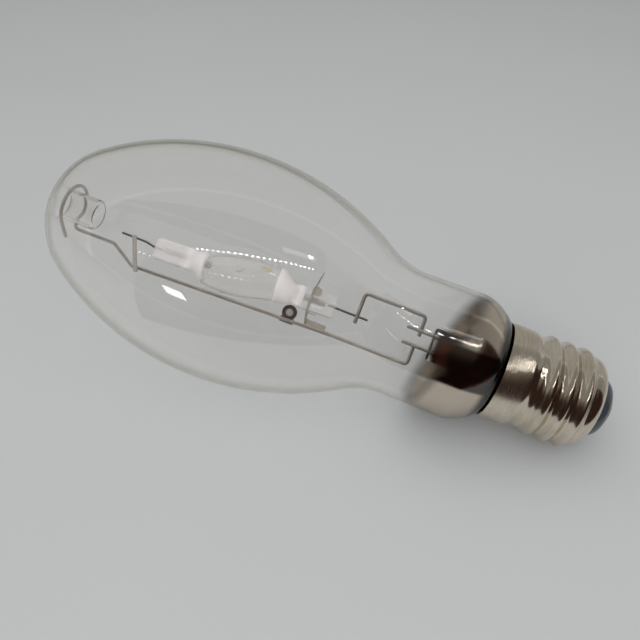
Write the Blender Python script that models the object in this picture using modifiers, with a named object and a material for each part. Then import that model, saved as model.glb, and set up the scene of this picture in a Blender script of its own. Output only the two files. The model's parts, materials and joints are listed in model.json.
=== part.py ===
"""A clear metal halide discharge lamp on a large screw cap, lying as it comes to rest.

The lamp is modelled about its own axis: Z runs from the cap rim towards the crown of the bulb,
X points up and Y away from the front.  A parent empty lays it down on its belly and its cap.
The wire mount inside has its own empty, turned about the lamp axis.
"""

import math

import bmesh
import bpy
import numpy
from mathutils import Vector

MM = 0.001
DEG = math.pi / 180
GAP = 0.3 * MM                      # clearance between pieces that seat on each other
MERGE = 0.01 * MM

# outer bulb
BULB_STEPS = 30
CAP_STEPS = 28
CAP_END_STEPS = 20
GLASS_WALL = 1.0 * MM
BELLY_R = 45.0 * MM
BELLY_Z = 108.3 * MM
BULB_TOP_Z = 183.7 * MM
CROWN_R = 31.8 * MM                 # radius of the rounded crown
NECK_R = 25.2 * MM                  # where the shoulder reaches its full width
WAIST_R = 24.7 * MM
SHOULDER_Z = 13.0 * MM
SHOULDER_POWER = 1.5
WAIST_Z = 36.3 * MM
NECK_SWEEP_R = 30.0 * MM            # hollow curve between the waist and the belly
SEAL_R = 16.9 * MM                  # neck where it goes into the cap
SEAL_DEPTH = 8.0 * MM

# re-entrant dimple at the crown
DIMPLE_BORE_R = 5.2 * MM
DIMPLE_DEPTH = 16.7 * MM
DIMPLE_LIP_R = 2.5 * MM
DIMPLE_CORNER_R = 0.8 * MM

# screw cap, size E40
SHELL_T = 0.35 * MM
CAP_RIM_R = 18.6 * MM
COLLAR_R = 19.0 * MM
COLLAR_LENGTH = 9.5 * MM
THREAD_PITCH = 6.35 * MM
THREAD_CREST_R = 19.55 * MM
THREAD_ROOT_R = 17.8 * MM
THREAD_START = 12.5 * MM
THREAD_END = 33.0 * MM
THREAD_FADE_IN = 3.6 * MM
THREAD_FADE_OUT = 2.2 * MM
THREAD_ROWS_PER_TURN = 5
THREAD_CREST_TURN = -114.4 * DEG    # turn of the first crest about the axis
SHELL_END_Z = 38.0 * MM
SHELL_END_R = 12.2 * MM
SIDE_HOLE_REACH = 2.0 * MM          # how far the lead hole's tool runs past the shell
INSULATOR_FLANGE = 0.8 * MM
INSULATOR_SEAT_DEPTH = 3.0 * MM
INSULATOR_FACE_R = 8.6 * MM
INSULATOR_PROUD = 4.6 * MM
CONTACT_R = 7.4 * MM
CONTACT_T = 0.8 * MM
SOLDER_R = 3.6 * MM
SOLDER_T = 0.8 * MM
SIDE_SOLDER_R = 2.0 * MM
SIDE_SOLDER_T = 0.9 * MM
SIDE_SOLDER_Z = -9.2 * MM
CEMENT_RECESS = 0.8 * MM

# stem
STEM_STEPS = 18
STEM_TUBE_R = 6.2 * MM
STEM_WALL = 1.1 * MM
PRESS_TOP_Z = 25.8 * MM
PRESS_FOOT_Z = 12.0 * MM
PRESS_HALF_WIDTH = 6.6 * MM
PRESS_HALF_THICKNESS = 2.4 * MM
PRESS_EDGE = 0.8 * MM
POST_HOLE_OVERRUN = 2.0 * MM
STEM_CAVITY_TOP_Z = 8.0 * MM
FLARE_START_Z = 3.0 * MM
EXHAUST_R = 2.2 * MM
EXHAUST_WALL = 0.7 * MM
EXHAUST_TIP_Z = -17.0 * MM
LEAD_DROP = 1.0 * MM                # how far past the exhaust tip the contact lead runs straight
LEAD_JOIN = 9.0 * MM                # and where it reaches the lamp axis
SHELL_LEAD_KINK_Z = -3.0 * MM
SHELL_LEAD_SIDE_Y = 5.0 * MM
SHELL_LEAD_MID_Y = 10.0 * MM

# wires of the mount
POST_R = 0.65 * MM
POST_SPACING = 6.2 * MM
POST_TOP_Z = 36.5 * MM
POST_FOOT_Z = 17.0 * MM
FRAME_WIRE_R = 0.68 * MM
RETURN_WIRE_R = 0.75 * MM
CROSSBAR_R = 0.85 * MM
INNER_LEAD_R = 0.4 * MM
BEND_R = 1.8 * MM
MOUNT_ROLL = 49.0 * DEG
FRAME_LEG_Z = 31.2 * MM
FRAME_RUN_X = -11.0 * MM
FRAME_KNEE_X = -13.9 * MM
FRAME_CROWN_X = -8.1 * MM
FRAME_CROWN_Z = 157.5 * MM
FRAME_CROWN_Y = 2.6 * MM
FRAME_KNEE_Y = 0.6 * MM
FRAME_STRAIGHT_Z = 62.0 * MM
LEG_OVERRUN = 0.7 * MM              # how far a leg runs past the post it is welded to
HOOK_R = 9.0 * MM
HOOK_X = -0.3 * MM
HOOK_STEPS = 16
HOOK_Z = 176.8 * MM
HOOK_START = 207.0 * DEG
HOOK_SWEEP = 296.0 * DEG
HOOK_TAIL = 8.5 * MM
HOOK_BEND_R = 5.0 * MM
HOOK_BEND_STEPS = 3
RETURN_LEG_Z = 30.8 * MM
RETURN_RUN_X = 9.2 * MM
RETURN_TAIL = 2.8 * MM
CROSSBAR_OVERRUN = 1.9 * MM

# arc tube, in its own frame: Z along the tube, zero at its middle
ARC_STEPS = 18
ARC_CENTRE_X = -2.0 * MM
ARC_CENTRE_Z = 102.5 * MM
ARC_LEAN = -2.5 * DEG
ARC_BODY_R = 8.5 * MM
ARC_BODY_HALF = 20.5 * MM
ARC_WALL = 1.2 * MM
ARC_SWAY = 0.105                    # how far the body leans out of line with its pinches, per length
ARC_SWAY_BLEND = 5.3 * MM
PINCH_LENGTH = 17.0 * MM
PINCH_HALF_WIDTH = 4.4 * MM
PINCH_HALF_THICKNESS = 2.0 * MM
PINCH_RIB = 0.25                    # how much thicker the pinch is along its edges
PINCH_TUBE_R = 4.0 * MM             # radius of the tube before it is pinched
PINCH_TURN = 12.0 * DEG
PASSAGE_R = 0.75 * MM
ELECTRODE_R = 0.4 * MM
ELECTRODE_TIP_Z = ARC_BODY_HALF - 7.0 * MM
COIL_WIRE_R = 0.3 * MM
COIL_TURNS = 3
COIL_PITCH = 0.8 * MM
COIL_SETBACK = 0.8 * MM
FOIL_LENGTH = 9.0 * MM
FOIL_WIDTH = 2.4 * MM
FOIL_T = 0.12 * MM
FOIL_CENTRE_Z = ARC_BODY_HALF + PINCH_LENGTH / 2
FOIL_LAP = 0.6 * MM                 # room between a foil's end and the wire that is welded to it
PINCH_BLEND = 2.0 * MM              # length over which the body runs into the pinch
PINCH_EDGE = 0.8 * MM
TIP_OFF_R = 1.5 * MM                # nub where the arc tube was sealed off after filling
TIP_OFF_HEIGHT = 1.3 * MM
TIP_OFF_SEAT = 0.7 * MM
TIP_OFF_Z = 1.5 * MM
TIP_OFF_TURN = -50.0 * DEG
ARC_LEAD_R = 0.45 * MM
ARC_LEAD_BEND = 4.0 * MM            # length of the slanted piece just outside the pinch
ARC_LEAD_STRAIGHT = 0.5 * MM
CROWN_END_Z = ARC_CENTRE_Z + ARC_BODY_HALF + PINCH_LENGTH
BASE_END_Z = ARC_CENTRE_Z - ARC_BODY_HALF - PINCH_LENGTH
FRAME_KNEE_Z = CROWN_END_Z + 7.0 * MM
CROSSBAR_FOOT_Z = CROWN_END_Z + 4.6 * MM
CROSSBAR_TOP_Z = CROWN_END_Z + 9.0 * MM
CROWN_LEAD_END_Z = CROWN_END_Z + 14.8 * MM
RETURN_FAR_Z = BASE_END_Z - 9.0 * MM
BASE_LEAD_END_Z = BASE_END_Z - 13.2 * MM
CROWN_LEAD_X = -2.85 * MM
BASE_LEAD_X = -0.4 * MM
DOSE_R = 1.5 * MM
DOSE_FLATNESS = 0.2
DOSE_SEAT = 0.45 * MM
DOSE_Z = -8.0 * MM
DOSE_TURN = -40.0 * DEG

# strap and getter
STRAP_T = 0.4 * MM
STRAP_Z = BASE_END_Z + 9.0 * MM
STRAP_BOW = 1.2 * MM
STRAP_REACH = 11.0 * MM
STRAP_HALF_WIDTH = 4.6 * MM
STRAP_TIP_HALF_WIDTH = 1.2 * MM
STRAP_EAR_R = 1.9 * MM
STRAP_LUG_LENGTH = 8.6 * MM
STRAP_LUG_HEIGHT = 2.1 * MM
STRAP_SLOT_DEPTH = 8.0 * MM
GETTER_Z = BASE_END_Z + 16.4 * MM
GETTER_X = -8.5 * MM
GETTER_RING_R = 2.2 * MM
GETTER_CHANNEL_R = 0.8 * MM
GETTER_CHANNEL_WALL = 0.3 * MM
GETTER_WEB_Z = 0.5 * MM
GETTER_TAB_LENGTH = 5.6 * MM
GETTER_TAB_T = 0.3 * MM


def clear_scene():
    for old in list(bpy.data.objects):
        bpy.data.objects.remove(old, do_unlink=True)


def new_collection(name):
    group = bpy.data.collections.new(name)
    bpy.context.scene.collection.children.link(group)
    return group


def new_material(name, colour, roughness, metallic=0.0, transmission=0.0):
    finish = bpy.data.materials.new(name)
    finish.use_nodes = True
    shader = finish.node_tree.nodes["Principled BSDF"]
    shader.inputs["Base Color"].default_value = (*colour, 1.0)
    shader.inputs["Roughness"].default_value = roughness
    shader.inputs["Metallic"].default_value = metallic
    shader.inputs["Transmission Weight"].default_value = transmission
    finish.diffuse_color = (*colour, 1.0)
    return finish


def place(piece, parent, finish=None, group=None):
    """Puts an object in its collection, under its parent, with its own material."""
    (group or parts).objects.link(piece)
    piece.parent = parent
    if finish:
        piece.data.materials.clear()
        piece.data.materials.append(finish)
    return piece


def new_empty(name, parent=None):
    frame = bpy.data.objects.new(name, None)
    frame.empty_display_size = 10 * MM
    return place(frame, parent)


def arc(centre, radius, start, end, steps):
    """Points on an arc in the profile plane, as (r, z), without the first one."""
    turns = [start + (end - start) * (i + 1) / steps for i in range(steps)]
    return [(centre[0] + radius * math.cos(t), centre[1] + radius * math.sin(t)) for t in turns]


def turned(name, profile, steps, closed=False):
    """A profile of (r, z) points turned about Z with a Screw modifier."""
    mesh = bpy.data.meshes.new(name)
    shape = bmesh.new()
    row = [shape.verts.new((r, 0.0, z)) for r, z in profile]
    for a, b in zip(row, row[1:]):
        shape.edges.new((a, b))
    if closed:
        shape.edges.new((row[-1], row[0]))
    shape.to_mesh(mesh)
    shape.free()
    piece = bpy.data.objects.new(name, mesh)
    screw = piece.modifiers.new("turn", "SCREW")
    screw.axis = "Z"
    screw.steps = steps
    screw.render_steps = steps
    screw.use_merge_vertices = True
    screw.merge_threshold = MERGE
    screw.use_smooth_shade = True
    return piece


def made_mesh(piece):
    """Replaces an object's data by its evaluated mesh, so that its points can be moved or cut."""
    scratch = bpy.context.scene.collection
    scratch.objects.link(piece)
    bpy.context.view_layer.update()
    seen = piece.evaluated_get(bpy.context.evaluated_depsgraph_get())
    mesh = bpy.data.meshes.new_from_object(seen)
    shape = bmesh.new()
    shape.from_mesh(mesh)
    bmesh.ops.remove_doubles(shape, verts=shape.verts, dist=MERGE)
    shape.to_mesh(mesh)
    shape.free()
    name = piece.name
    piece.name = name + "_outline"
    solid = bpy.data.objects.new(name, mesh)
    solid.matrix_world = piece.matrix_world
    bpy.data.objects.remove(piece, do_unlink=True)
    return solid


def move_points(piece, rule):
    """Moves each point of a mesh to where a rule puts it."""
    for point in piece.data.vertices:
        point.co = rule(point.co.copy())


def shell(piece, thickness, offset=-1.0):
    wall = piece.modifiers.new("wall", "SOLIDIFY")
    wall.thickness = thickness
    wall.offset = offset
    wall.use_even_offset = True
    return piece


def box(name, centre, size):
    mesh = bpy.data.meshes.new(name)
    shape = bmesh.new()
    bmesh.ops.create_cube(shape, size=1.0)
    bmesh.ops.scale(shape, vec=size, verts=shape.verts)
    bmesh.ops.translate(shape, vec=centre, verts=shape.verts)
    shape.to_mesh(mesh)
    shape.free()
    return bpy.data.objects.new(name, mesh)


def rod(name, start, end, radius, sides=10):
    """A straight round bar between two points, as a mesh that can cut or be joined."""
    start, end = Vector(start), Vector(end)
    along = end - start
    mesh = bpy.data.meshes.new(name)
    shape = bmesh.new()
    bmesh.ops.create_cone(shape, cap_ends=True, segments=sides, radius1=radius, radius2=radius,
                          depth=along.length)
    turn = along.to_track_quat("Z", "Y").to_matrix()
    bmesh.ops.rotate(shape, matrix=turn, verts=shape.verts)
    bmesh.ops.translate(shape, vec=(start + end) / 2, verts=shape.verts)
    shape.to_mesh(mesh)
    shape.free()
    return bpy.data.objects.new(name, mesh)


def combine(piece, tool, operation):
    """Cuts a piece with a hidden tool, or joins the tool to it."""
    place(tool, piece.parent, group=cutters)
    tool.hide_render = True
    tool.display_type = "WIRE"
    step = piece.modifiers.new(operation.lower(), "BOOLEAN")
    step.operation = operation
    step.solver = "EXACT"
    step.object = tool
    return piece


def rounded_route(corners, radius, steps=3):
    """A polyline with its corners rounded, as points for a wire."""
    corners = [Vector(c) for c in corners]
    route = [corners[0]]
    for before, corner, after in zip(corners, corners[1:], corners[2:]):
        back = (before - corner).normalized()
        ahead = (after - corner).normalized()
        half = back.angle(ahead) / 2
        room = 0.45 * min((before - corner).length, (after - corner).length)
        cut = min(radius / math.tan(half), room)
        for i in range(steps + 1):
            t = i / steps
            first = corner + back * cut * (1 - t)
            second = corner + ahead * cut * t
            route.append(first.lerp(second, t))
    route.append(corners[-1])
    return route


def wire(name, route, radius, resolution=2):
    """A drawn wire: a curve along the route with a round section and filled ends."""
    curve = bpy.data.curves.new(name, "CURVE")
    curve.dimensions = "3D"
    curve.bevel_depth = radius
    curve.bevel_resolution = resolution
    curve.use_fill_caps = True
    line = curve.splines.new("POLY")
    line.points.add(len(route) - 1)
    for point, target in zip(line.points, route):
        point.co = (*target, 1.0)
    return bpy.data.objects.new(name, curve)


def bulb_profile():
    """Air side of the bulb from the bottom of the dimple over the crown and belly to the seal."""
    crown_z = BULB_TOP_Z - CROWN_R
    reach = BULB_TOP_Z - BELLY_Z
    side_r = (reach ** 2 + BELLY_R ** 2 - 2 * reach * CROWN_R) / (2 * (BELLY_R - CROWN_R))
    drop = BELLY_R - WAIST_R
    run = BELLY_Z - WAIST_Z
    belly_arc_r = (run ** 2 + drop ** 2) / (2 * drop) - NECK_SWEEP_R

    lip_r = DIMPLE_BORE_R + DIMPLE_LIP_R
    lip_z = crown_z + math.sqrt((CROWN_R - DIMPLE_LIP_R) ** 2 - lip_r ** 2)
    lip_turn = math.atan2(lip_z - crown_z, lip_r)
    side_turn = math.atan2(crown_z - BELLY_Z, -(BELLY_R - side_r))

    floor_z = BULB_TOP_Z - DIMPLE_DEPTH
    corner = (DIMPLE_BORE_R - DIMPLE_CORNER_R, floor_z + DIMPLE_CORNER_R)
    points = [(0.0, floor_z), (corner[0], floor_z)]
    points += arc(corner, DIMPLE_CORNER_R, -math.pi / 2, 0.0, 2)
    points.append((DIMPLE_BORE_R, lip_z))
    points += arc((lip_r, lip_z), DIMPLE_LIP_R, math.pi, lip_turn, 2)
    points += arc((0.0, crown_z), CROWN_R, lip_turn, side_turn, 5)
    points += arc((BELLY_R - side_r, BELLY_Z), side_r, side_turn, 0.0, 4)
    sweep_turn = math.atan2(run, WAIST_R + NECK_SWEEP_R - BELLY_R + belly_arc_r)
    points += arc((BELLY_R - belly_arc_r, BELLY_Z), belly_arc_r, 0.0, -sweep_turn, 4)
    points += arc((WAIST_R + NECK_SWEEP_R, WAIST_Z), NECK_SWEEP_R, math.pi - sweep_turn, math.pi, 3)
    rows = 4
    for i in range(rows + 1):
        z = SHOULDER_Z * (1 - i / rows) ** 1.3
        swell = (1 - (1 - z / SHOULDER_Z) ** SHOULDER_POWER) ** (1 / SHOULDER_POWER)
        points.append((SEAL_R + (NECK_R - SEAL_R) * swell, z))
    points.append((SEAL_R, -SEAL_DEPTH))
    return points


def make_outer_bulb():
    bulb = turned("outer_bulb", bulb_profile(), BULB_STEPS)
    bulb.rotation_euler.z = math.pi / BULB_STEPS
    return shell(place(bulb, lamp, clear_glass), GLASS_WALL)


def thread_depth(z):
    """Share of the full thread depth at a height, fading out at both ends of the thread."""
    into = (-THREAD_START - z) / THREAD_FADE_IN
    out = (z + THREAD_END) / THREAD_FADE_OUT
    share = max(0.0, min(1.0, into, out))
    return share * share * (3 - 2 * share)


def cut_thread(point):
    """Raises a point of the shell to a right-hand rolled thread."""
    radius = math.hypot(point.x, point.y)
    if -THREAD_END < point.z < -THREAD_START and radius > 0:
        turn = math.atan2(point.y, point.x) - THREAD_CREST_TURN
        phase = 2 * math.pi * (point.z + THREAD_START) / THREAD_PITCH - turn
        rise = (THREAD_CREST_R - THREAD_ROOT_R) * thread_depth(point.z) * (1 + math.cos(phase)) / 2
        point.x *= (radius + rise) / radius
        point.y *= (radius + rise) / radius
    return point


def make_cap_shell():
    step_r = COLLAR_R - THREAD_ROOT_R
    step_z = THREAD_START - COLLAR_LENGTH
    points = [(CAP_RIM_R, 0.0), (COLLAR_R, -COLLAR_LENGTH / 2), (COLLAR_R, -COLLAR_LENGTH)]
    points.append((COLLAR_R - step_r * 0.3, -COLLAR_LENGTH - step_z / 2))
    rows = round((THREAD_END - THREAD_START) / THREAD_PITCH * THREAD_ROWS_PER_TURN)
    for i in range(rows + 1):
        points.append((THREAD_ROOT_R, -THREAD_START - (THREAD_END - THREAD_START) * i / rows))
    turn_r = SHELL_END_Z - THREAD_END
    points += arc((THREAD_ROOT_R - turn_r, -THREAD_END), turn_r, 0.0, -math.pi / 2, 4)
    points.append((SHELL_END_R, -SHELL_END_Z))
    screw_shell = made_mesh(turned("cap_shell", points, CAP_STEPS))
    move_points(screw_shell, cut_thread)
    screw_shell.rotation_euler.z = math.pi / CAP_STEPS
    shell(place(screw_shell, lamp, nickel_plate), SHELL_T)
    hole = rod("side_lead_hole", (0, COLLAR_R - SIDE_HOLE_REACH, SIDE_SOLDER_Z),
               (0, COLLAR_R + SIDE_HOLE_REACH, SIDE_SOLDER_Z), INNER_LEAD_R + GAP)
    combine(screw_shell, hole, "DIFFERENCE")
    hole.parent = mount


def make_cap_end():
    """Black glass insulator, contact plate and solder at the end of the cap."""
    seat_z = -SHELL_END_Z + SHELL_T + GAP
    bore_r = INNER_LEAD_R + GAP
    neck_r = SHELL_END_R - GAP
    face_z = -SHELL_END_Z - INSULATOR_PROUD
    brow_z = -SHELL_END_Z - GAP
    points = [(neck_r + INSULATOR_FLANGE, seat_z + INSULATOR_SEAT_DEPTH),
              (neck_r + INSULATOR_FLANGE, seat_z), (neck_r, seat_z), (neck_r, brow_z)]
    points.append(((neck_r * 2 + INSULATOR_FACE_R) / 3, (brow_z + face_z * 2) / 3))
    points += [(INSULATOR_FACE_R, face_z), (bore_r, face_z), (bore_r, seat_z + INSULATOR_SEAT_DEPTH)]
    place(turned("cap_insulator", points, CAP_END_STEPS, closed=True), lamp, black_glass)

    top_z = face_z - GAP
    foot_z = top_z - CONTACT_T
    edge = CONTACT_T / 2
    points = [(CONTACT_R, top_z), (CONTACT_R, top_z - edge), (CONTACT_R - edge, foot_z),
              (bore_r, foot_z), (bore_r, top_z)]
    place(turned("contact_plate", points, CAP_END_STEPS, closed=True), lamp, contact_brass)

    top_z = foot_z - GAP
    end_z = top_z - SOLDER_T
    flat_r = SOLDER_R - SOLDER_T
    points = [(0.0, top_z), (SOLDER_R, top_z)]
    points.append((SOLDER_R - SOLDER_T * 0.3, (top_z + end_z) / 2))
    points += [(flat_r, end_z), (0.0, end_z)]
    place(turned("contact_solder", points, 16), lamp, tin_solder)


def make_side_solder():
    """Bead of solder over the lead wire, on the side of the cap's collar."""
    points = [(0.0, SIDE_SOLDER_T), (SIDE_SOLDER_R * 0.6, SIDE_SOLDER_T * 0.8),
              (SIDE_SOLDER_R, SIDE_SOLDER_T * 0.2), (SIDE_SOLDER_R, 0.0), (0.0, 0.0)]
    bead = place(turned("side_solder", points, 12), mount, tin_solder)
    bead.location = (0, COLLAR_R + GAP, SIDE_SOLDER_Z)
    bead.rotation_euler.x = -math.pi / 2


def make_cement():
    """Ring of cement between the neck of the bulb and the collar of the cap."""
    inner = SEAL_R + GAP
    outer = CAP_RIM_R - SHELL_T - GAP
    points = [(outer, -CEMENT_RECESS), (outer, -SEAL_DEPTH), (inner, -SEAL_DEPTH), (inner, -CEMENT_RECESS)]
    ring = place(turned("basing_cement", points, CAP_STEPS, closed=True), lamp, cement)
    ring.rotation_euler.z = math.pi / CAP_STEPS


def ease(share):
    share = max(0.0, min(1.0, share))
    return share * share * (3 - 2 * share)


def pressed(point, tube_r, half_width, half_thickness, rib, share):
    """Flattens a round tube to a pressed seal: wide along X, thin along Y, thicker at its edges."""
    radius = math.hypot(point.x, point.y)
    if radius == 0:
        return point
    across = math.copysign(math.sqrt(abs(point.x) / radius), point.x)
    through = math.copysign(math.sqrt(abs(point.y) / radius), point.y)
    size = radius / tube_r
    x = across * half_width * size
    y = through * half_thickness * size * (1 + rib * across * across)
    return Vector((point.x + (x - point.x) * share, point.y + (y - point.y) * share, point.z))


def press_stem(point):
    rise = PRESS_FOOT_Z - STEM_CAVITY_TOP_Z
    share = ease((point.z - STEM_CAVITY_TOP_Z) / rise)
    return pressed(point, STEM_TUBE_R, PRESS_HALF_WIDTH, PRESS_HALF_THICKNESS, 0.0, share)


def make_stem():
    """Flared glass stem, pressed flat round the posts at its top and sealed to the neck below."""
    flare_r = SEAL_R - GLASS_WALL - GAP
    foot_z = -SEAL_DEPTH
    bore_r = STEM_TUBE_R - STEM_WALL
    sweep = 3
    points = [(0.0, PRESS_TOP_Z), (STEM_TUBE_R - PRESS_EDGE, PRESS_TOP_Z)]
    points.append((STEM_TUBE_R, PRESS_TOP_Z - PRESS_EDGE))
    points += [(STEM_TUBE_R, (PRESS_TOP_Z + PRESS_FOOT_Z) / 2), (STEM_TUBE_R, PRESS_FOOT_Z)]
    points += [(STEM_TUBE_R, (PRESS_FOOT_Z + STEM_CAVITY_TOP_Z) / 2), (STEM_TUBE_R, FLARE_START_Z)]
    outer = []
    for i in range(1, sweep + 1):
        turn = math.pi / 2 * i / sweep
        outer.append((STEM_TUBE_R + (flare_r - STEM_TUBE_R) * (1 - math.cos(turn)),
                      FLARE_START_Z + (foot_z - FLARE_START_Z) * math.sin(turn)))
    inner = [(r - STEM_WALL, z) for r, z in reversed(outer)]
    points += outer + inner
    points += [(bore_r, FLARE_START_Z), (bore_r, STEM_CAVITY_TOP_Z), (0.0, STEM_CAVITY_TOP_Z)]
    stem = made_mesh(turned("stem_glass", points, STEM_STEPS))
    move_points(stem, press_stem)
    place(stem, mount, stem_glass)
    for side, name in ((1, "return_post_hole"), (-1, "frame_post_hole")):
        x = side * POST_SPACING / 2
        hole = rod(name, (x, 0, PRESS_TOP_Z + POST_HOLE_OVERRUN),
                   (x, 0, STEM_CAVITY_TOP_Z - POST_HOLE_OVERRUN), POST_R + GAP)
        combine(stem, hole, "DIFFERENCE")


def make_exhaust_tube():
    top_z = STEM_CAVITY_TOP_Z - GAP
    neck_z = EXHAUST_TIP_Z + EXHAUST_R
    bore_r = EXHAUST_R - EXHAUST_WALL
    points = [(EXHAUST_R, top_z), (EXHAUST_R, neck_z), (EXHAUST_R * 0.6, EXHAUST_TIP_Z + EXHAUST_R * 0.25)]
    points += [(0.0, EXHAUST_TIP_Z)]
    points += [(0.0, EXHAUST_TIP_Z + EXHAUST_WALL), (bore_r, neck_z), (bore_r, top_z)]
    place(turned("exhaust_tube", points, 12, closed=True), mount, stem_glass)


def make_posts_and_leads():
    """Two nickel posts in the press, and the leads that run from them to the cap."""
    right = POST_SPACING / 2
    foot_z = POST_FOOT_Z - GAP
    contact_z = -SHELL_END_Z - INSULATOR_PROUD - GAP - CONTACT_T
    for name, x in (("return_post", right), ("frame_post", -right)):
        post = wire(name, [(x, 0, POST_FOOT_Z), (x, 0, POST_TOP_Z)], POST_R)
        place(post, mount, nickel_wire)
    route = [(right, 0, foot_z), (right, 0, EXHAUST_TIP_Z - LEAD_DROP),
             (0, 0, EXHAUST_TIP_Z - LEAD_JOIN), (0, 0, contact_z)]
    place(wire("contact_lead_wire", rounded_route(route, BEND_R, 2), INNER_LEAD_R, 1), mount, nickel_wire)
    route = [(-right, 0, foot_z), (-right, 0, SHELL_LEAD_KINK_Z),
             (-right / 2, SHELL_LEAD_SIDE_Y, SIDE_SOLDER_Z), (0, SHELL_LEAD_MID_Y, SIDE_SOLDER_Z),
             (0, COLLAR_R, SIDE_SOLDER_Z)]
    place(wire("shell_lead_wire", rounded_route(route, BEND_R, 2), INNER_LEAD_R, 1), mount, nickel_wire)


def frame_wire_at(z):
    """Centre of the long straight run of the frame wire at a height."""
    start = Vector((FRAME_RUN_X, POST_R + FRAME_WIRE_R + GAP, FRAME_LEG_Z))
    knee = Vector((FRAME_KNEE_X, FRAME_KNEE_Y, FRAME_KNEE_Z))
    share = max(0.0, (z - FRAME_STRAIGHT_Z) / (FRAME_KNEE_Z - FRAME_STRAIGHT_Z))
    point = start.lerp(knee, share)
    point.z = z
    return point


def hook_point(turn):
    """Point on the loop round the dimple; the turn starts at +X and runs to the front."""
    return Vector((HOOK_X + HOOK_R * math.cos(turn), -HOOK_R * math.sin(turn), HOOK_Z))


def make_frame_wire():
    """Wire from its post along the arc tube to the crown, where it hooks round the dimple."""
    leg_y = POST_R + FRAME_WIRE_R + GAP
    corners = [(-POST_SPACING / 2 + LEG_OVERRUN, leg_y, FRAME_LEG_Z), frame_wire_at(FRAME_LEG_Z),
               frame_wire_at(FRAME_STRAIGHT_Z), frame_wire_at(FRAME_KNEE_Z)]
    crown = Vector((FRAME_CROWN_X, FRAME_CROWN_Y, FRAME_CROWN_Z))
    midway = crown.lerp(hook_point(HOOK_START), 0.5)
    route = rounded_route(corners + [crown, midway], BEND_R)
    step = HOOK_SWEEP / HOOK_STEPS
    onto_hook = [midway, hook_point(HOOK_START), hook_point(HOOK_START + step * HOOK_BEND_STEPS)]
    route += rounded_route(onto_hook, HOOK_BEND_R)[1:]
    route += [hook_point(HOOK_START + step * i) for i in range(HOOK_BEND_STEPS + 1, HOOK_STEPS + 1)]
    end_turn = HOOK_START + HOOK_SWEEP
    tail = Vector((-math.sin(end_turn), -math.cos(end_turn), 0)) * HOOK_TAIL
    route.append(route[-1] + tail)
    place(wire("frame_wire", route, FRAME_WIRE_R), mount, nickel_wire)


def make_crossbar():
    """Short bar welded across the crown lead and the frame wire."""
    lead_gap = ARC_LEAD_R + CROSSBAR_R + GAP
    wire_gap = FRAME_WIRE_R + CROSSBAR_R + GAP
    at_wire = frame_wire_at(CROSSBAR_FOOT_Z)
    top = Vector((CROWN_LEAD_X, -lead_gap, CROSSBAR_TOP_Z))
    foot = Vector((at_wire.x, at_wire.y - wire_gap, CROSSBAR_FOOT_Z))
    along = (foot - top).normalized()
    ends = [top - along * ARC_LEAD_R * 2, foot + along * CROSSBAR_OVERRUN]
    place(wire("crown_crossbar", ends, CROSSBAR_R), mount, nickel_wire)


def make_return_wire():
    """Bracket of wire from its post to the base lead of the arc tube."""
    post_y = POST_R + RETURN_WIRE_R + GAP
    lead_y = -(ARC_LEAD_R + RETURN_WIRE_R + GAP)
    corners = [(POST_SPACING / 2 - LEG_OVERRUN * 3, post_y, RETURN_LEG_Z),
               (RETURN_RUN_X, post_y, RETURN_LEG_Z), (RETURN_RUN_X, lead_y, RETURN_FAR_Z),
               (BASE_LEAD_X - RETURN_TAIL, lead_y, RETURN_FAR_Z)]
    place(wire("return_wire", rounded_route(corners, BEND_R), RETURN_WIRE_R), mount, nickel_wire)


def arc_sway(z):
    """How far the hand-worked body stands off the line between its pinches at a height."""
    within = ARC_BODY_HALF - ARC_WALL - abs(z)
    return -ARC_SWAY * z * ease(within / ARC_SWAY_BLEND)


def shape_arc_tube(point):
    """Pinches both ends of the turned tube flat and flattens its passage round the foils."""
    radius = math.hypot(point.x, point.y)
    height = abs(point.z)
    foil_z = FOIL_CENTRE_Z
    if radius < PASSAGE_R * 1.1:
        if abs(height - foil_z) < FOIL_LENGTH / 2 + GAP * 1.5:
            point.x *= (FOIL_WIDTH / 2 + GAP) / PASSAGE_R
            point.y *= (FOIL_T / 2 + GAP) / PASSAGE_R
        return point
    if height <= ARC_BODY_HALF:
        sway = arc_sway(point.z)
        point.x += sway * math.cos(PINCH_TURN)
        point.y -= sway * math.sin(PINCH_TURN)
        return point
    share = ease((height - ARC_BODY_HALF) / PINCH_BLEND)
    return pressed(point, PINCH_TUBE_R, PINCH_HALF_WIDTH, PINCH_HALF_THICKNESS, PINCH_RIB, share)


def arc_body_r(z):
    """Outer radius of the arc tube's rounded body at a height from its middle."""
    stretch = ARC_BODY_HALF / math.sqrt(1 - (PINCH_TUBE_R / ARC_BODY_R) ** 2)
    return ARC_BODY_R * math.sqrt(1 - (z / stretch) ** 2)


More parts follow.
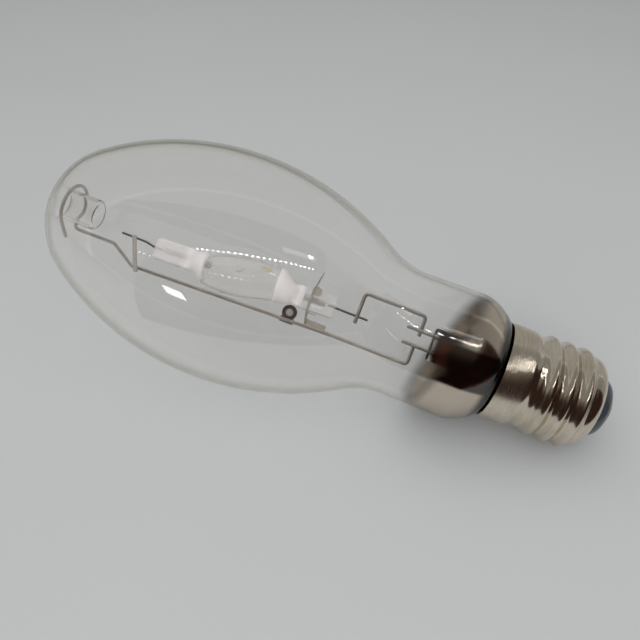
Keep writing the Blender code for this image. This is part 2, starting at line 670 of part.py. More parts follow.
def make_arc_tube():
    """Quartz arc tube: a rounded body with a pinch seal at each end and a passage for its leads."""
    end_z = ARC_BODY_HALF + PINCH_LENGTH
    rows = 8
    outer_half = [(PINCH_TUBE_R * 0.93, end_z), (PINCH_TUBE_R, end_z - PINCH_EDGE),
                  (PINCH_TUBE_R, ARC_BODY_HALF + PINCH_BLEND)]
    body = [(arc_body_r(z), z) for z in
            (ARC_BODY_HALF * math.cos(math.pi * i / rows) for i in range(rows + 1))]
    outer = outer_half + body + [(r, -z) for r, z in reversed(outer_half)]
    hollow_z = ARC_BODY_HALF - ARC_WALL * 2
    near = FOIL_CENTRE_Z - FOIL_LENGTH / 2 - GAP
    far = FOIL_CENTRE_Z + FOIL_LENGTH / 2 + GAP
    step = 0.5 * MM
    inner_half = [(PASSAGE_R, -z) for z in (end_z, far + step, far, near, near - step, hollow_z + ARC_WALL)]
    cavity = [(arc_body_r(z) - ARC_WALL, z) for z in
              (-hollow_z * math.cos(math.pi * i / rows) for i in range(rows + 1))]
    inner = inner_half + cavity + [(r, -z) for r, z in reversed(inner_half)]
    tube = made_mesh(turned("arc_tube", outer + inner, ARC_STEPS, closed=True))
    move_points(tube, shape_arc_tube)
    place(tube, pinch, quartz)
    add_tip_off(tube)


def add_tip_off(tube):
    """Joins the small rounded nub of the sealed filling tube to the side of the arc tube."""
    points = [(0.0, TIP_OFF_HEIGHT), (TIP_OFF_R * 0.6, TIP_OFF_HEIGHT * 0.8),
              (TIP_OFF_R, TIP_OFF_HEIGHT * 0.2), (TIP_OFF_R, -TIP_OFF_SEAT), (0.0, -TIP_OFF_SEAT)]
    nub = turned("tip_off", points, 8)
    combine(tube, nub, "UNION")
    nub.parent = tube_axis
    reach = arc_body_r(TIP_OFF_Z)
    nub_x = reach * math.cos(TIP_OFF_TURN) + arc_sway(TIP_OFF_Z)
    nub.location = (nub_x, reach * math.sin(TIP_OFF_TURN), TIP_OFF_Z)
    nub.rotation_euler = (0, math.pi / 2, TIP_OFF_TURN)


def tube_point(z):
    """Point on the arc tube's axis, in the frame of the mount."""
    return Vector((ARC_CENTRE_X + z * math.sin(ARC_LEAN), 0, ARC_CENTRE_Z + z * math.cos(ARC_LEAN)))


def make_arc_leads():
    """Leads from the outer ends of the foils to the crossbar and to the return wire."""
    end_z = ARC_BODY_HALF + PINCH_LENGTH
    inner_z = FOIL_CENTRE_Z + FOIL_LENGTH / 2 + GAP + FOIL_LAP
    corners = [tube_point(inner_z), tube_point(end_z + ARC_LEAD_STRAIGHT)]
    corners.append(Vector((CROWN_LEAD_X, 0, corners[-1].z + ARC_LEAD_BEND)))
    corners.append(Vector((CROWN_LEAD_X, 0, CROWN_LEAD_END_Z)))
    place(wire("arc_lead_crown", rounded_route(corners, BEND_R), ARC_LEAD_R), mount, molybdenum)
    corners = [tube_point(-inner_z), tube_point(-end_z - ARC_LEAD_STRAIGHT)]
    corners.append(Vector((BASE_LEAD_X, 0, corners[-1].z - ARC_LEAD_BEND)))
    corners.append(Vector((BASE_LEAD_X, 0, BASE_LEAD_END_Z)))
    place(wire("arc_lead_base", rounded_route(corners, BEND_R), ARC_LEAD_R), mount, molybdenum)


def make_electrodes():
    """At each end of the arc tube a foil in the pinch, a tungsten rod and its wound coil."""
    for end, side in (("crown", 1), ("base", -1)):
        foil = box("foil_" + end, (0, 0, side * FOIL_CENTRE_Z), (FOIL_WIDTH, FOIL_T, FOIL_LENGTH))
        place(foil, pinch, molybdenum)
        root_z = FOIL_CENTRE_Z - FOIL_LENGTH / 2 - GAP - FOIL_LAP
        tip_z = ELECTRODE_TIP_Z
        stalk = wire("electrode_" + end, [(0, 0, side * root_z), (0, 0, side * tip_z)], ELECTRODE_R)
        place(stalk, pinch, tungsten)
        turn_points = 8
        winding = []
        for i in range(round(COIL_TURNS * turn_points) + 1):
            turn = 2 * math.pi * i / turn_points
            r = ELECTRODE_R + GAP + COIL_WIRE_R
            z = tip_z + COIL_SETBACK + COIL_PITCH * i / turn_points
            winding.append((r * math.cos(turn), r * math.sin(turn), side * z))
        place(wire("electrode_coil_" + end, winding, COIL_WIRE_R, 1), pinch, tungsten)


def make_halide_dose():
    """Cooled bead of the lamp's halide salts on the wall of the arc tube."""
    wall_r = arc_body_r(DOSE_Z) - ARC_WALL
    mesh = bpy.data.meshes.new("halide_dose")
    shape = bmesh.new()
    bmesh.ops.create_uvsphere(shape, u_segments=12, v_segments=6, radius=DOSE_R)
    bmesh.ops.scale(shape, vec=(DOSE_FLATNESS, 1, 1.4), verts=shape.verts)
    shape.to_mesh(mesh)
    shape.free()
    bead = place(bpy.data.objects.new("halide_dose", mesh), tube_axis, halide_salt)
    seat_r = wall_r - DOSE_SEAT - DOSE_R * DOSE_FLATNESS
    bead_x = seat_r * math.cos(DOSE_TURN) + arc_sway(DOSE_Z)
    bead.location = (bead_x, seat_r * math.sin(DOSE_TURN), DOSE_Z)
    bead.rotation_euler.z = DOSE_TURN


def strap_bow(x):
    """How far the strap bows towards the crown at a distance from the lamp axis."""
    return STRAP_BOW * (1 - (x / STRAP_REACH) ** 2)


def bow_strap(point):
    """Tapers the strap towards its tip and bows it."""
    reach = abs(point.x) / STRAP_REACH
    width = STRAP_HALF_WIDTH + (STRAP_TIP_HALF_WIDTH - STRAP_HALF_WIDTH) * ease((reach - 0.5) * 2)
    point.y *= width / STRAP_HALF_WIDTH
    point.z += strap_bow(point.x)
    return point


def make_pinch_strap():
    """Sheet strap that stands on the frame wire and grips the base pinch in its slot."""
    at_wire = frame_wire_at(STRAP_Z)
    foot_x = at_wire.x + FRAME_WIRE_R + GAP
    mesh = bpy.data.meshes.new("pinch_strap")
    shape = bmesh.new()
    bmesh.ops.create_grid(shape, x_segments=10, y_segments=2, size=1.0)
    half = (STRAP_REACH - foot_x) / 2
    bmesh.ops.scale(shape, vec=(half, STRAP_HALF_WIDTH, 1), verts=shape.verts)
    bmesh.ops.translate(shape, vec=(foot_x + half, 0, STRAP_Z), verts=shape.verts)
    shape.to_mesh(mesh)
    shape.free()
    strap = bpy.data.objects.new("pinch_strap", mesh)
    move_points(strap, bow_strap)
    shell(place(strap, mount, strap_steel), STRAP_T, 0.0)

    slot_x = tube_point(STRAP_Z - ARC_CENTRE_Z).x
    thickness = PINCH_HALF_THICKNESS * (1 + PINCH_RIB)
    slot = box("strap_slot", (0, 0, 0),
               (2 * (PINCH_HALF_WIDTH + GAP), 2 * (thickness + GAP), STRAP_SLOT_DEPTH))
    combine(strap, slot, "DIFFERENCE")
    slot.location = (slot_x, 0, STRAP_Z)
    slot.rotation_euler = (0, ARC_LEAN, PINCH_TURN)

    lug_z = STRAP_Z + STRAP_T - STRAP_LUG_LENGTH / 2
    lug = box("strap_lug", (foot_x + STRAP_LUG_HEIGHT / 2, at_wire.y, lug_z),
              (STRAP_LUG_HEIGHT, STRAP_T, STRAP_LUG_LENGTH))
    combine(strap, lug, "UNION")
    ear_x = slot_x + PINCH_HALF_WIDTH - STRAP_EAR_R * 0.3
    ear_y = -(thickness + GAP + STRAP_T)
    ear_z = STRAP_Z + strap_bow(ear_x) - STRAP_EAR_R * 0.8
    ear = rod("strap_ear", (ear_x, ear_y - STRAP_T / 2, ear_z), (ear_x, ear_y + STRAP_T / 2, ear_z),
              STRAP_EAR_R, sides=14)
    combine(strap, ear, "UNION")
    tongue_x = slot_x - PINCH_HALF_WIDTH - GAP - STRAP_T
    tongue = box("strap_tongue", (tongue_x, 0, STRAP_Z + strap_bow(tongue_x) - STRAP_EAR_R * 0.9),
                 (STRAP_T, STRAP_EAR_R, STRAP_EAR_R * 2))
    combine(strap, tongue, "UNION")


def make_getter():
    """Channel ring of the flashed getter with its web, and the tab welded to the frame wire."""
    at_wire = frame_wire_at(GETTER_Z)
    front_y = at_wire.y + FRAME_WIRE_R + GAP
    out_r = GETTER_RING_R + GETTER_CHANNEL_R
    in_r = GETTER_RING_R - GETTER_CHANNEL_R
    wall = GETTER_CHANNEL_WALL
    depth = GETTER_CHANNEL_R * 1.6
    points = [(0.0, GETTER_WEB_Z + wall), (in_r, GETTER_WEB_Z + wall), (in_r, depth), (in_r + wall, depth),
              (in_r + wall, wall), (out_r - wall, wall), (out_r - wall, depth), (out_r, depth),
              (out_r, 0), (in_r, 0), (in_r, GETTER_WEB_Z), (0.0, GETTER_WEB_Z)]
    ring = place(turned("getter_ring", points, 14), mount, getter_iron)
    ring.location = (GETTER_X, front_y + depth, GETTER_Z)
    ring.rotation_euler.x = math.pi / 2
    foot_x = at_wire.x - FRAME_WIRE_R - GAP * 2
    top_x = GETTER_X - GETTER_RING_R
    tab = box("getter_tab", (0, 0, 0), (top_x - foot_x, GETTER_TAB_LENGTH, GETTER_TAB_T))
    combine(ring, tab, "UNION")
    tab.location = ((top_x + foot_x) / 2, front_y + GETTER_TAB_T / 2, GETTER_Z)
    tab.rotation_euler.x = math.pi / 2


def points_in(frame, names):
    """Evaluated points of the named parts, in the frame of an object."""
    bpy.context.view_layer.update()
    seen_by = bpy.context.evaluated_depsgraph_get()
    into = frame.matrix_world.inverted()
    found = []
    for name in names:
        seen = bpy.data.objects[name].evaluated_get(seen_by)
        turn = into @ seen.matrix_world
        mesh = seen.to_mesh()
        found += [turn @ v.co for v in mesh.vertices]
        seen.to_mesh_clear()
    return numpy.array([tuple(p) for p in found])


def lay_down():
    """Lays the lamp on the lowest points of its belly and cap, centred over the origin."""
    bulb = points_in(lamp, ["outer_bulb"])
    cap = points_in(lamp, ["cap_shell"])
    rise = cap[:, None, 0] - bulb[None, :, 0]
    run = bulb[None, :, 2] - cap[:, None, 2]
    tilt = numpy.arctan2(rise, run).max(axis=1).min()
    lamp.rotation_euler.y = tilt - math.pi / 2
    world = new_empty("world_origin")
    everything = points_in(world, [piece.name for piece in parts.objects if piece.type != "EMPTY"])
    low, high = everything.min(axis=0), everything.max(axis=0)
    lamp.location = (-(low[0] + high[0]) / 2, -(low[1] + high[1]) / 2, -low[2])
    bpy.data.objects.remove(world, do_unlink=True)


clear_scene()
parts = new_collection("metal_halide_lamp")
cutters = new_collection("lamp_cutters")

clear_glass = new_material("clear_soda_glass", (0.93, 0.94, 0.92), 0.02, transmission=1.0)
stem_glass = new_material("lead_glass", (0.90, 0.91, 0.90), 0.05, transmission=1.0)
quartz = new_material("fused_quartz", (0.92, 0.92, 0.91), 0.08, transmission=0.9)
black_glass = new_material("black_cap_glass", (0.02, 0.025, 0.03), 0.25)
nickel_plate = new_material("nickel_plated_brass", (0.62, 0.58, 0.52), 0.22, metallic=1.0)
nickel_wire = new_material("nickel_wire", (0.42, 0.37, 0.32), 0.35, metallic=1.0)
strap_steel = new_material("strap_steel", (0.48, 0.42, 0.34), 0.35, metallic=1.0)
getter_iron = new_material("flashed_getter_iron", (0.10, 0.09, 0.09), 0.6, metallic=1.0)
molybdenum = new_material("molybdenum", (0.20, 0.20, 0.20), 0.45, metallic=1.0)
tungsten = new_material("tungsten", (0.25, 0.25, 0.26), 0.4, metallic=1.0)
contact_brass = new_material("contact_brass", (0.66, 0.55, 0.34), 0.3, metallic=1.0)
tin_solder = new_material("tin_solder", (0.66, 0.66, 0.66), 0.35, metallic=1.0)
cement = new_material("dark_basing_cement", (0.03, 0.03, 0.03), 0.8)
halide_salt = new_material("halide_salt", (0.70, 0.55, 0.20), 0.5)

lamp = new_empty("lamp_axis")
mount = new_empty("mount_axis", lamp)
mount.rotation_euler.z = MOUNT_ROLL
tube_axis = new_empty("arc_tube_axis", mount)
tube_axis.location = tube_point(0)
tube_axis.rotation_euler.y = ARC_LEAN
pinch = new_empty("pinch_axis", tube_axis)
pinch.rotation_euler.z = PINCH_TURN

make_outer_bulb()
make_cap_shell()
make_cap_end()
make_side_solder()
make_cement()
make_stem()
make_exhaust_tube()
make_posts_and_leads()
make_frame_wire()
make_crossbar()
make_return_wire()
make_arc_tube()
make_arc_leads()
make_electrodes()
make_halide_dose()
make_pinch_strap()
make_getter()
lay_down()
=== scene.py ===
"""Looks of the clear metal halide lamp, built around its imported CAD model.

New pieces are shaped about the lamp's own axis, with Z from the cap rim towards the crown of the
bulb, X up and Y away from the front.  They are then laid down where the CAD model lies.
"""

import json
from functools import partial
from math import atan2, copysign, cos, degrees, hypot, pi, sin, sqrt, tan

import bpy
from mathutils import Matrix, Vector


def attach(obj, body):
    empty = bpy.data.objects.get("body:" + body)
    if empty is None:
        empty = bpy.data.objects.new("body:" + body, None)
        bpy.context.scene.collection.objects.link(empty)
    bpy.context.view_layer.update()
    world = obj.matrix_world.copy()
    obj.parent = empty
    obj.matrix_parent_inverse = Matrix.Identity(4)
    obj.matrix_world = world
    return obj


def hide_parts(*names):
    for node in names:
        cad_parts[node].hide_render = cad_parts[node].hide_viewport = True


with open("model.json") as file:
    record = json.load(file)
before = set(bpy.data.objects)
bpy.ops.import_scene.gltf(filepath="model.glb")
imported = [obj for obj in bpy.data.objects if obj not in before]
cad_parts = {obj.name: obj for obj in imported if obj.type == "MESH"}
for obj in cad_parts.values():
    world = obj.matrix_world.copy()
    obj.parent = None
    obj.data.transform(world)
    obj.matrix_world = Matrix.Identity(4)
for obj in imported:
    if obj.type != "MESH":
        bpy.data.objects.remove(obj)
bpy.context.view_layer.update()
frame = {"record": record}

bl_info = {
    "name": "Metal halide lamp",
    "version": (1, 0, 0),
    "blender": (4, 5, 0),
    "location": "View3D > Sidebar > Lamp",
    "description": "Glass, wires, screw cap and studio of a clear metal halide lamp",
    "category": "Object",
}

MM = 0.001
DEG = pi / 180
CONTACT_DROP = 44.8 * MM            # from the cap rim to the outer face of the solder on the contact
MOUNT_ROLL = 49.0 * DEG
ARC_LEAN = -2.5 * DEG
PINCH_TURN = 12.0 * DEG
ARC_CENTRE_X = -2.0 * MM
ARC_CENTRE_Z = 102.5 * MM
ARC_BODY_HALF = 20.5 * MM
ARC_BODY_R = 8.5 * MM
ARC_WALL = 1.2 * MM
PINCH_LENGTH = 17.0 * MM
FOIL_Z = 29 * MM
CROWN_END_Z = ARC_CENTRE_Z + ARC_BODY_HALF + PINCH_LENGTH
BASE_END_Z = ARC_CENTRE_Z - ARC_BODY_HALF - PINCH_LENGTH
POST_X = 3.1 * MM
SIDE_LEAD_Z = -9.2 * MM             # where the side lead comes out through the shell
BEND = 1.8 * MM                     # radius that the wires are bent to
GETTER_X = -8.5 * MM
GETTER_Z = BASE_END_Z + 16.4 * MM


def mm(*sizes):
    """Sizes in millimetres, as metres."""
    return tuple(size * MM for size in sizes)


# places

def lamp_place():
    """Where the lamp lies: its cap rim at the origin of a frame whose Z is the lamp's axis."""
    contact = frame["record"]["mounts"][0]
    axis = -Vector(contact["axis"]).normalized()
    rim = Vector(contact["pos_m"]) + axis * CONTACT_DROP
    side = Vector((0, 1, 0))
    turn = Matrix((side.cross(axis), side, axis)).transposed().to_4x4()
    return Matrix.Translation(rim) @ turn


def shift(x, y, z):
    return Matrix.Translation((x, y, z))


def turn_about(axis, angle):
    return Matrix.Rotation(angle, 4, axis)


LAMP = lamp_place()
MOUNT = LAMP @ turn_about("Z", MOUNT_ROLL)
TUBE = MOUNT @ shift(ARC_CENTRE_X, 0, ARC_CENTRE_Z) @ turn_about("Y", ARC_LEAN)
PINCH = TUBE @ turn_about("Z", PINCH_TURN)


# modelling steps

def deselect():
    if bpy.context.object and bpy.context.object.mode != "OBJECT":
        bpy.ops.object.mode_set(mode="OBJECT")
    bpy.ops.object.select_all(action="DESELECT")


def pick(piece):
    deselect()
    piece.select_set(True)
    bpy.context.view_layer.objects.active = piece


def just_made(name):
    """The object that the last step added, with its name."""
    piece = bpy.context.object
    piece.name = name
    return piece


def edit_all():
    bpy.ops.object.mode_set(mode="EDIT")
    bpy.ops.mesh.select_all(action="SELECT")


def edit_done():
    bpy.ops.object.mode_set(mode="OBJECT")


def apply_place():
    bpy.ops.object.transform_apply(location=True, rotation=True, scale=True)


def arc(centre, radius, start, end, steps):
    """Points on an arc in the profile plane, as (r, z), without the first one."""
    turns = [start + (end - start) * (i + 1) / steps for i in range(steps)]
    return [(centre[0] + radius * cos(t), centre[1] + radius * sin(t)) for t in turns]


def turned(name, points, steps):
    """Draws a profile of (r, z) points by extruding one vertex and spins it about Z."""
    deselect()
    first = points[0]
    bpy.ops.mesh.primitive_plane_add(size=MM, location=(first[0], 0, first[1]))
    piece = just_made(name)
    bpy.ops.object.mode_set(mode="EDIT")
    bpy.ops.mesh.select_mode(type="VERT")
    bpy.ops.mesh.select_all(action="SELECT")
    bpy.ops.mesh.merge(type="CENTER")
    for here, there in zip(points, points[1:]):
        step = (there[0] - here[0], 0, there[1] - here[1])
        bpy.ops.mesh.extrude_vertices_move(TRANSFORM_OT_translate={"value": step})
    bpy.ops.mesh.select_all(action="SELECT")
    bpy.ops.mesh.spin(steps=steps, angle=2 * pi, center=(0, 0, 0), axis=(0, 0, 1))
    bpy.ops.mesh.select_all(action="SELECT")
    bpy.ops.mesh.remove_doubles(threshold=0.001 * MM)
    bpy.ops.mesh.normals_make_consistent(inside=False)
    edit_done()
    apply_place()
    return piece


def drill(name, radius, low, high, steps):
    """A plain round solid about Z, to cut a hole with."""
    return turned(name, [(0, low), (radius, low), (radius, high), (0, high)], steps)


def face_out(piece, low, high):
    """Turns the faces round if those between two heights look at the lamp's axis."""
    looks = sum(f.normal.x * f.center.x + f.normal.y * f.center.y
            for f in piece.data.polygons if low < f.center.z < high)
    if looks < 0:
        pick(piece)
        edit_all()
        bpy.ops.mesh.flip_normals()
        edit_done()


def modify(piece, kind, **settings):
    """Adds a modifier with its settings and applies it."""
    pick(piece)
    bpy.ops.object.modifier_add(type=kind)
    step = piece.modifiers[-1]
    for key, value in settings.items():
        setattr(step, key, value)
    bpy.ops.object.modifier_apply(modifier=step.name)


def thicken(piece, wall, inner_slot=0):
    modify(piece, "SOLIDIFY", thickness=wall, offset=-1, use_even_offset=True, material_offset=inner_slot)


def round_edges(piece, width, segments=3):
    modify(piece, "BEVEL", width=width, segments=segments, limit_method="ANGLE", angle_limit=35 * DEG)


def combine(piece, tool, operation="UNION"):
    """Fuses a second solid into a piece, or cuts it out of it, and clears the second one away."""
    bpy.context.view_layer.update()
    modify(piece, "BOOLEAN", operation=operation, solver="EXACT", object=tool)
    bpy.data.objects.remove(tool, do_unlink=True)


def rounded_route(corners, radius=BEND, steps=8):
    """A polyline with its corners rounded, as points for a wire."""
    corners = [Vector(c) for c in corners]
    route = [corners[0]]
    for before, corner, after in zip(corners, corners[1:], corners[2:]):
        back = (before - corner).normalized()
        ahead = (after - corner).normalized()
        half = back.angle(ahead) / 2
        room = 0.45 * min((before - corner).length, (after - corner).length)
        cut = min(radius / tan(half), room)
        for i in range(steps + 1):
            t = i / steps
            route.append((corner + back * cut * (1 - t)).lerp(corner + ahead * cut * t, t))
    route.append(corners[-1])
    return route


def drawn_wire(name, route, radius, sides=6):
    """Bends a curve along a route, gives it a round section and makes it a mesh."""
    deselect()
    bpy.ops.curve.primitive_nurbs_path_add(location=(0, 0, 0))
    piece = just_made(name)
    curve = piece.data
    curve.splines.clear()
    line = curve.splines.new("POLY")
    line.points.add(len(route) - 1)
    for point, target in zip(line.points, route):
        point.co = (*target, 1.0)
    curve.bevel_depth = radius
    curve.bevel_resolution = sides
    curve.use_fill_caps = True
    pick(piece)
    bpy.ops.object.convert(target="MESH")
    return bpy.context.object


def box(name, centre, size):
    deselect()
    bpy.ops.mesh.primitive_cube_add(size=1, location=centre)
    piece = just_made(name)
    piece.scale = size
    apply_place()
    return piece


def settle(piece, place, finishes, slot, *nodes, smooth=40, finish=None):
    """Lays a piece in its place, gives it its slot's finish if it is bare, and ties it to the lamp."""
    pick(piece)
    piece.matrix_world = place @ piece.matrix_world
    apply_place()
    bpy.ops.object.shade_smooth_by_angle(angle=smooth * DEG)
    if not piece.data.materials:
        piece.data.materials.append(finishes[finish or slot])
    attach(piece, "root")
    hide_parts(*nodes)


# finishes

SOFT = {"interpolation_type": "SMOOTHSTEP"}      # a range that eases in and out
TONE = {"data_type": "RGBA"}                     # a mix of colours


def linear(code):
    """A colour written as an sRGB hex value, turned to linear."""
    parts = [int(code[i:i + 2], 16) / 255 for i in (1, 3, 5)]
    return tuple(c / 12.92 if c <= 0.04045 else ((c + 0.055) / 1.055) ** 2.4 for c in parts) + (1.0,)


def add_node(tree, kind, inputs=None, **settings):
    """Adds a node, sets it and fills its inputs; a node given for an input is linked by its result."""
    made = tree.nodes.new("ShaderNode" + kind)
    for key, value in settings.items():
        setattr(made, key, value)
    for key, value in (inputs or {}).items():
        if isinstance(value, bpy.types.Node):
            value = next(result for result in value.outputs if result.enabled)
        if isinstance(value, bpy.types.NodeSocket):
            tree.links.new(value, made.inputs[key])
        else:
            made.inputs[key].default_value = value
    return made


def bare_tree(owner):
    """Clears the nodes of a material or world, and gives the function that adds nodes to it."""
    owner.use_nodes = True
    owner.node_tree.nodes.clear()
    return partial(add_node, owner.node_tree)


def new_finish(name):
    finish = bpy.data.materials.new(name)
    return finish, bare_tree(finish)


def spaced(size):
    """Scale of a pattern whose lumps are so many millimetres apart."""
    return 1000 / size


def clouded_tone(node, where, size, detail, first, second, rough=0.5):
    """A tone that drifts between two shades in clouds of a real size, with the clouds themselves."""
    cloud = node("TexNoise", {"Vector": where, "Scale": spaced(size), "Detail": detail,
            "Roughness": rough})
    return node("Mix", {"Factor": cloud, "A": first, "B": second}, **TONE), cloud


def uneven(node, where, size, detail, strength, depth, rough=0.5):
    """Unevenness of a surface: lumps of a real size and depth in millimetres."""
    lumps = node("TexNoise", {"Vector": where, "Scale": spaced(size), "Detail": detail,
            "Roughness": rough})
    return node("Bump", {"Height": lumps, "Strength": strength, "Distance": depth * MM})


def shadow_clear(node, shader, tint):
    """Lets light through to what lies behind, as thin clear glass does."""
    path = node("LightPath")
    passing = node("Math", {0: path.outputs["Is Shadow Ray"], 1: path.outputs["Is Diffuse Ray"]},
            operation="MAXIMUM")
    clear = node("BsdfTransparent", {"Color": linear(tint)})
    return node("MixShader", {0: passing, 1: shader, 2: clear})


def coordinates(node, place=None):
    """Object coordinates in metres, turned into a piece's own frame where one is given."""
    where = node("TexCoord").outputs["Object"]
    if place is None:
        return where
    back = place.inverted()
    return node("Mapping", {"Vector": where, "Location": back.to_translation(),
            "Rotation": back.to_euler("XYZ")}, vector_type="POINT")


def blown_glass(node):
    """Blown soda-lime glass: clear, olive where seen edge-on, with slow waves from the blowing."""
    place = coordinates(node)
    lean = node("LayerWeight", {"Blend": 0.5})
    edge = node("MapRange", {"Value": lean.outputs["Facing"], "From Min": 0.64, "From Max": 0.92})
    shade = node("Mix", {"Factor": edge, "A": linear("#FFFEFD"), "B": linear("#ABA67A")}, **TONE)
    waves = uneven(node, place, 26.3, 1.5, 0.03, 0.4, rough=0.4)
    glass = node("BsdfPrincipled", {"Base Color": shade, "Transmission Weight": 1.0, "Roughness": 0.0,
            "IOR": 1.52, "Normal": waves})
    return shadow_clear(node, glass, "#FFFFFF")


def make_clear_glass():
    """Air side of the bulb, fire-polished: only sharp highlights and the olive edge show."""
    finish, node = new_finish("blown_soda_glass")
    node("OutputMaterial", {"Surface": blown_glass(node)})
    return finish


def make_mirror_neck():
    """Inner wall of the bulb: clear, with the getter's barium film on the neck as a brown mirror.

    The film starts as a smoky veil with a slanting, cloudy edge.  On its front, in front of the press,
    it carries a painted dark reflection with red streaks, and it is nearly black where it meets the cap.
    """
    finish, node = new_finish("soda_glass_with_barium_mirror")
    clear = blown_glass(node)
    where = coordinates(node, MOUNT)
    axes = node("SeparateXYZ", {"Vector": where})
    slant = node("Math", {0: axes.outputs["X"], 1: 0.28}, operation="MULTIPLY")
    level = node("Math", {0: axes.outputs["Z"], 1: slant}, operation="ADD")
    cloud = node("TexNoise", {"Vector": where, "Scale": spaced(16.67), "Detail": 2.0})
    drift = node("Math", {0: cloud, 1: 2.0 * MM}, operation="MULTIPLY")
    edge = node("Math", {0: level, 1: drift}, operation="ADD")
    cover, full = (node("MapRange", {"Value": edge, "From Min": start * MM, "From Max": end * MM},
            **SOFT) for start, end in ((25.5, 18.0), (23.5, 17.0)))
    film = node("Mix", {"Factor": full, "A": linear("#77736E"), "B": linear("#CFC3B2")}, **TONE)

    # painted dark reflection: a dark patch with red streaks, only on the front of the neck in front of the
    # press
    around = coordinates(node, LAMP)
    near, aside = (node("VectorMath", {0: around, 1: way}, operation="DOT_PRODUCT")
                   for way in ((0.629, -0.777, 0), (0.777, 0.629, 0)))
    off = node("Math", {0: aside}, operation="ABSOLUTE")
    darkened_zone = node("MapRange", {"Value": off, "From Min": 7.8 * MM, "From Max": 6.4 * MM, "To Max": 0.96},
            **SOFT)
    front = node("Math", {0: near, 1: 0.0}, operation="GREATER_THAN")
    spot = node("Math", {0: darkened_zone, 1: front}, operation="MULTIPLY")
    drawn_out = node("Mapping", {"Vector": where, "Scale": (1, 1, 0.25)})
    painted_red_streaks = node("TexNoise", {"Vector": drawn_out, "Scale": spaced(3.846), "Detail": 2.0})
    red = node("MapRange", {"Value": painted_red_streaks, "From Min": 0.52, "From Max": 0.72}, **SOFT)
    painted_dark_reflection = node("Mix", {"Factor": red, "A": linear("#453C39"), "B": linear("#86452F")}, **TONE)
    film = node("Mix", {"Factor": spot, "A": film, "B": painted_dark_reflection}, **TONE)

    rim = node("MapRange", {"Value": axes.outputs["Z"], "From Min": 6.5 * MM, "From Max": 3.0 * MM},
            **SOFT)
    film = node("Mix", {"Factor": rim, "A": film, "B": linear("#1B2122")}, **TONE)
    mirror = node("BsdfPrincipled", {"Base Color": film, "Metallic": 1.0, "Roughness": 0.10})
    node("OutputMaterial", {"Surface": node("MixShader", {0: cover, 1: clear, 2: mirror})})
    return finish


def make_press_glass():
    """Pressed lead glass of the stem: thick and wavy, dark red-brown and glossy low down on the press."""
    finish, node = new_finish("pressed_lead_glass")
    place = coordinates(node)
    waves = uneven(node, place, 4.545, 2.0, 0.25, 0.3)
    glass = node("BsdfPrincipled", {"Base Color": linear("#FDFDFB"), "Transmission Weight": 1.0,
            "Roughness": 0.02, "IOR": 1.56, "Normal": waves})
    clear = shadow_clear(node, glass, "#F4F5F2")
    where = coordinates(node, MOUNT)
    axes = node("SeparateXYZ", {"Vector": where})
    blotch = node("TexNoise", {"Vector": where, "Scale": spaced(5.882), "Detail": 2.0})
    tone = node("ValToRGB", {"Fac": blotch})
    for stop, position, code in zip(tone.color_ramp.elements, (0.42, 0.72), ("#120E0E", "#54261C")):
        stop.position, stop.color = position, linear(code)
    film = node("BsdfPrincipled", {"Base Color": tone, "Roughness": 0.12, "IOR": 1.56, "Normal": waves})
    cover = node("MapRange", {"Value": axes.outputs["Z"], "From Min": 24.6 * MM, "From Max": 22.2 * MM,
            "To Max": 0.94}, **SOFT)
    node("OutputMaterial", {"Surface": node("MixShader", {0: cover, 1: clear, 2: film})})
    return finish


def make_quartz():
    """Fused quartz, clear in its middle, with the white heat-reflecting coat on both ends.

    The coat is a matt powder that lets some light in, thinner towards the tips.  Where the tube is seen
    edge-on the coat shows more, as a painted highlight.
    """
    finish, node = new_finish("coated_fused_quartz")
    where = coordinates(node, TUBE)
    axes = node("SeparateXYZ", {"Vector": where})
    ripple = uneven(node, where, 6.25, 1.0, 0.15, 0.2)
    lean = node("LayerWeight", {"Blend": 0.5})
    edge = node("MapRange", {"Value": lean.outputs["Facing"], "From Min": 0.75, "From Max": 1.0})
    shade = node("Mix", {"Factor": edge, "A": linear("#FFFFFF"), "B": linear("#E0DDB4")}, **TONE)
    quartz = node("BsdfPrincipled", {"Base Color": shade, "Transmission Weight": 1.0, "Roughness": 0.03,
            "IOR": 1.46, "Normal": ripple})
    clear = shadow_clear(node, quartz, "#F4F4F1")
    grain = uneven(node, where, 1.4286, 3.0, 0.2, 0.1)
    powder = node("BsdfPrincipled", {"Base Color": linear("#F7F3F3"), "Roughness": 0.55, "Normal": grain})
    let_in = node("BsdfTranslucent", {"Color": linear("#FBF8F7"), "Normal": grain})
    coat = node("MixShader", {0: 0.28, 1: powder, 2: let_in})
    # each coat's edge on the body, and how it thins towards its tip
    ends = []
    for edge_from, edge_to, tip_from, tip_to, thin, thick in ((14.4, 16.8, 27.0, 20.5, 0.32, 0.70),
                                                              (-13.0, -13.8, -25.5, -22.5, 0.12, 0.76)):
        start = node("MapRange", {"Value": axes.outputs["Z"], "From Min": edge_from * MM,
                "From Max": edge_to * MM}, **SOFT)
        tip = node("MapRange", {"Value": axes.outputs["Z"], "From Min": tip_from * MM,
                "From Max": tip_to * MM, "To Min": thin, "To Max": thick}, **SOFT)
        ends.append(node("Math", {0: start, 1: tip}, operation="MULTIPLY"))
    both = node("Math", {0: ends[0], 1: ends[1]}, operation="ADD")
    # painted highlight: more coat where the tube is seen edge-on, a bright rim along its outline; a faint
    # even haze besides
    rim = node("Math", {0: edge, 1: 0.42}, operation="MULTIPLY")
    haze_and_painted_edge_light = node("Math", {0: rim, 1: 0.08}, operation="ADD")
    cover = node("Math", {0: both, 1: haze_and_painted_edge_light}, operation="MAXIMUM")
    node("OutputMaterial", {"Surface": node("MixShader", {0: cover, 1: clear, 2: coat})})
    return finish


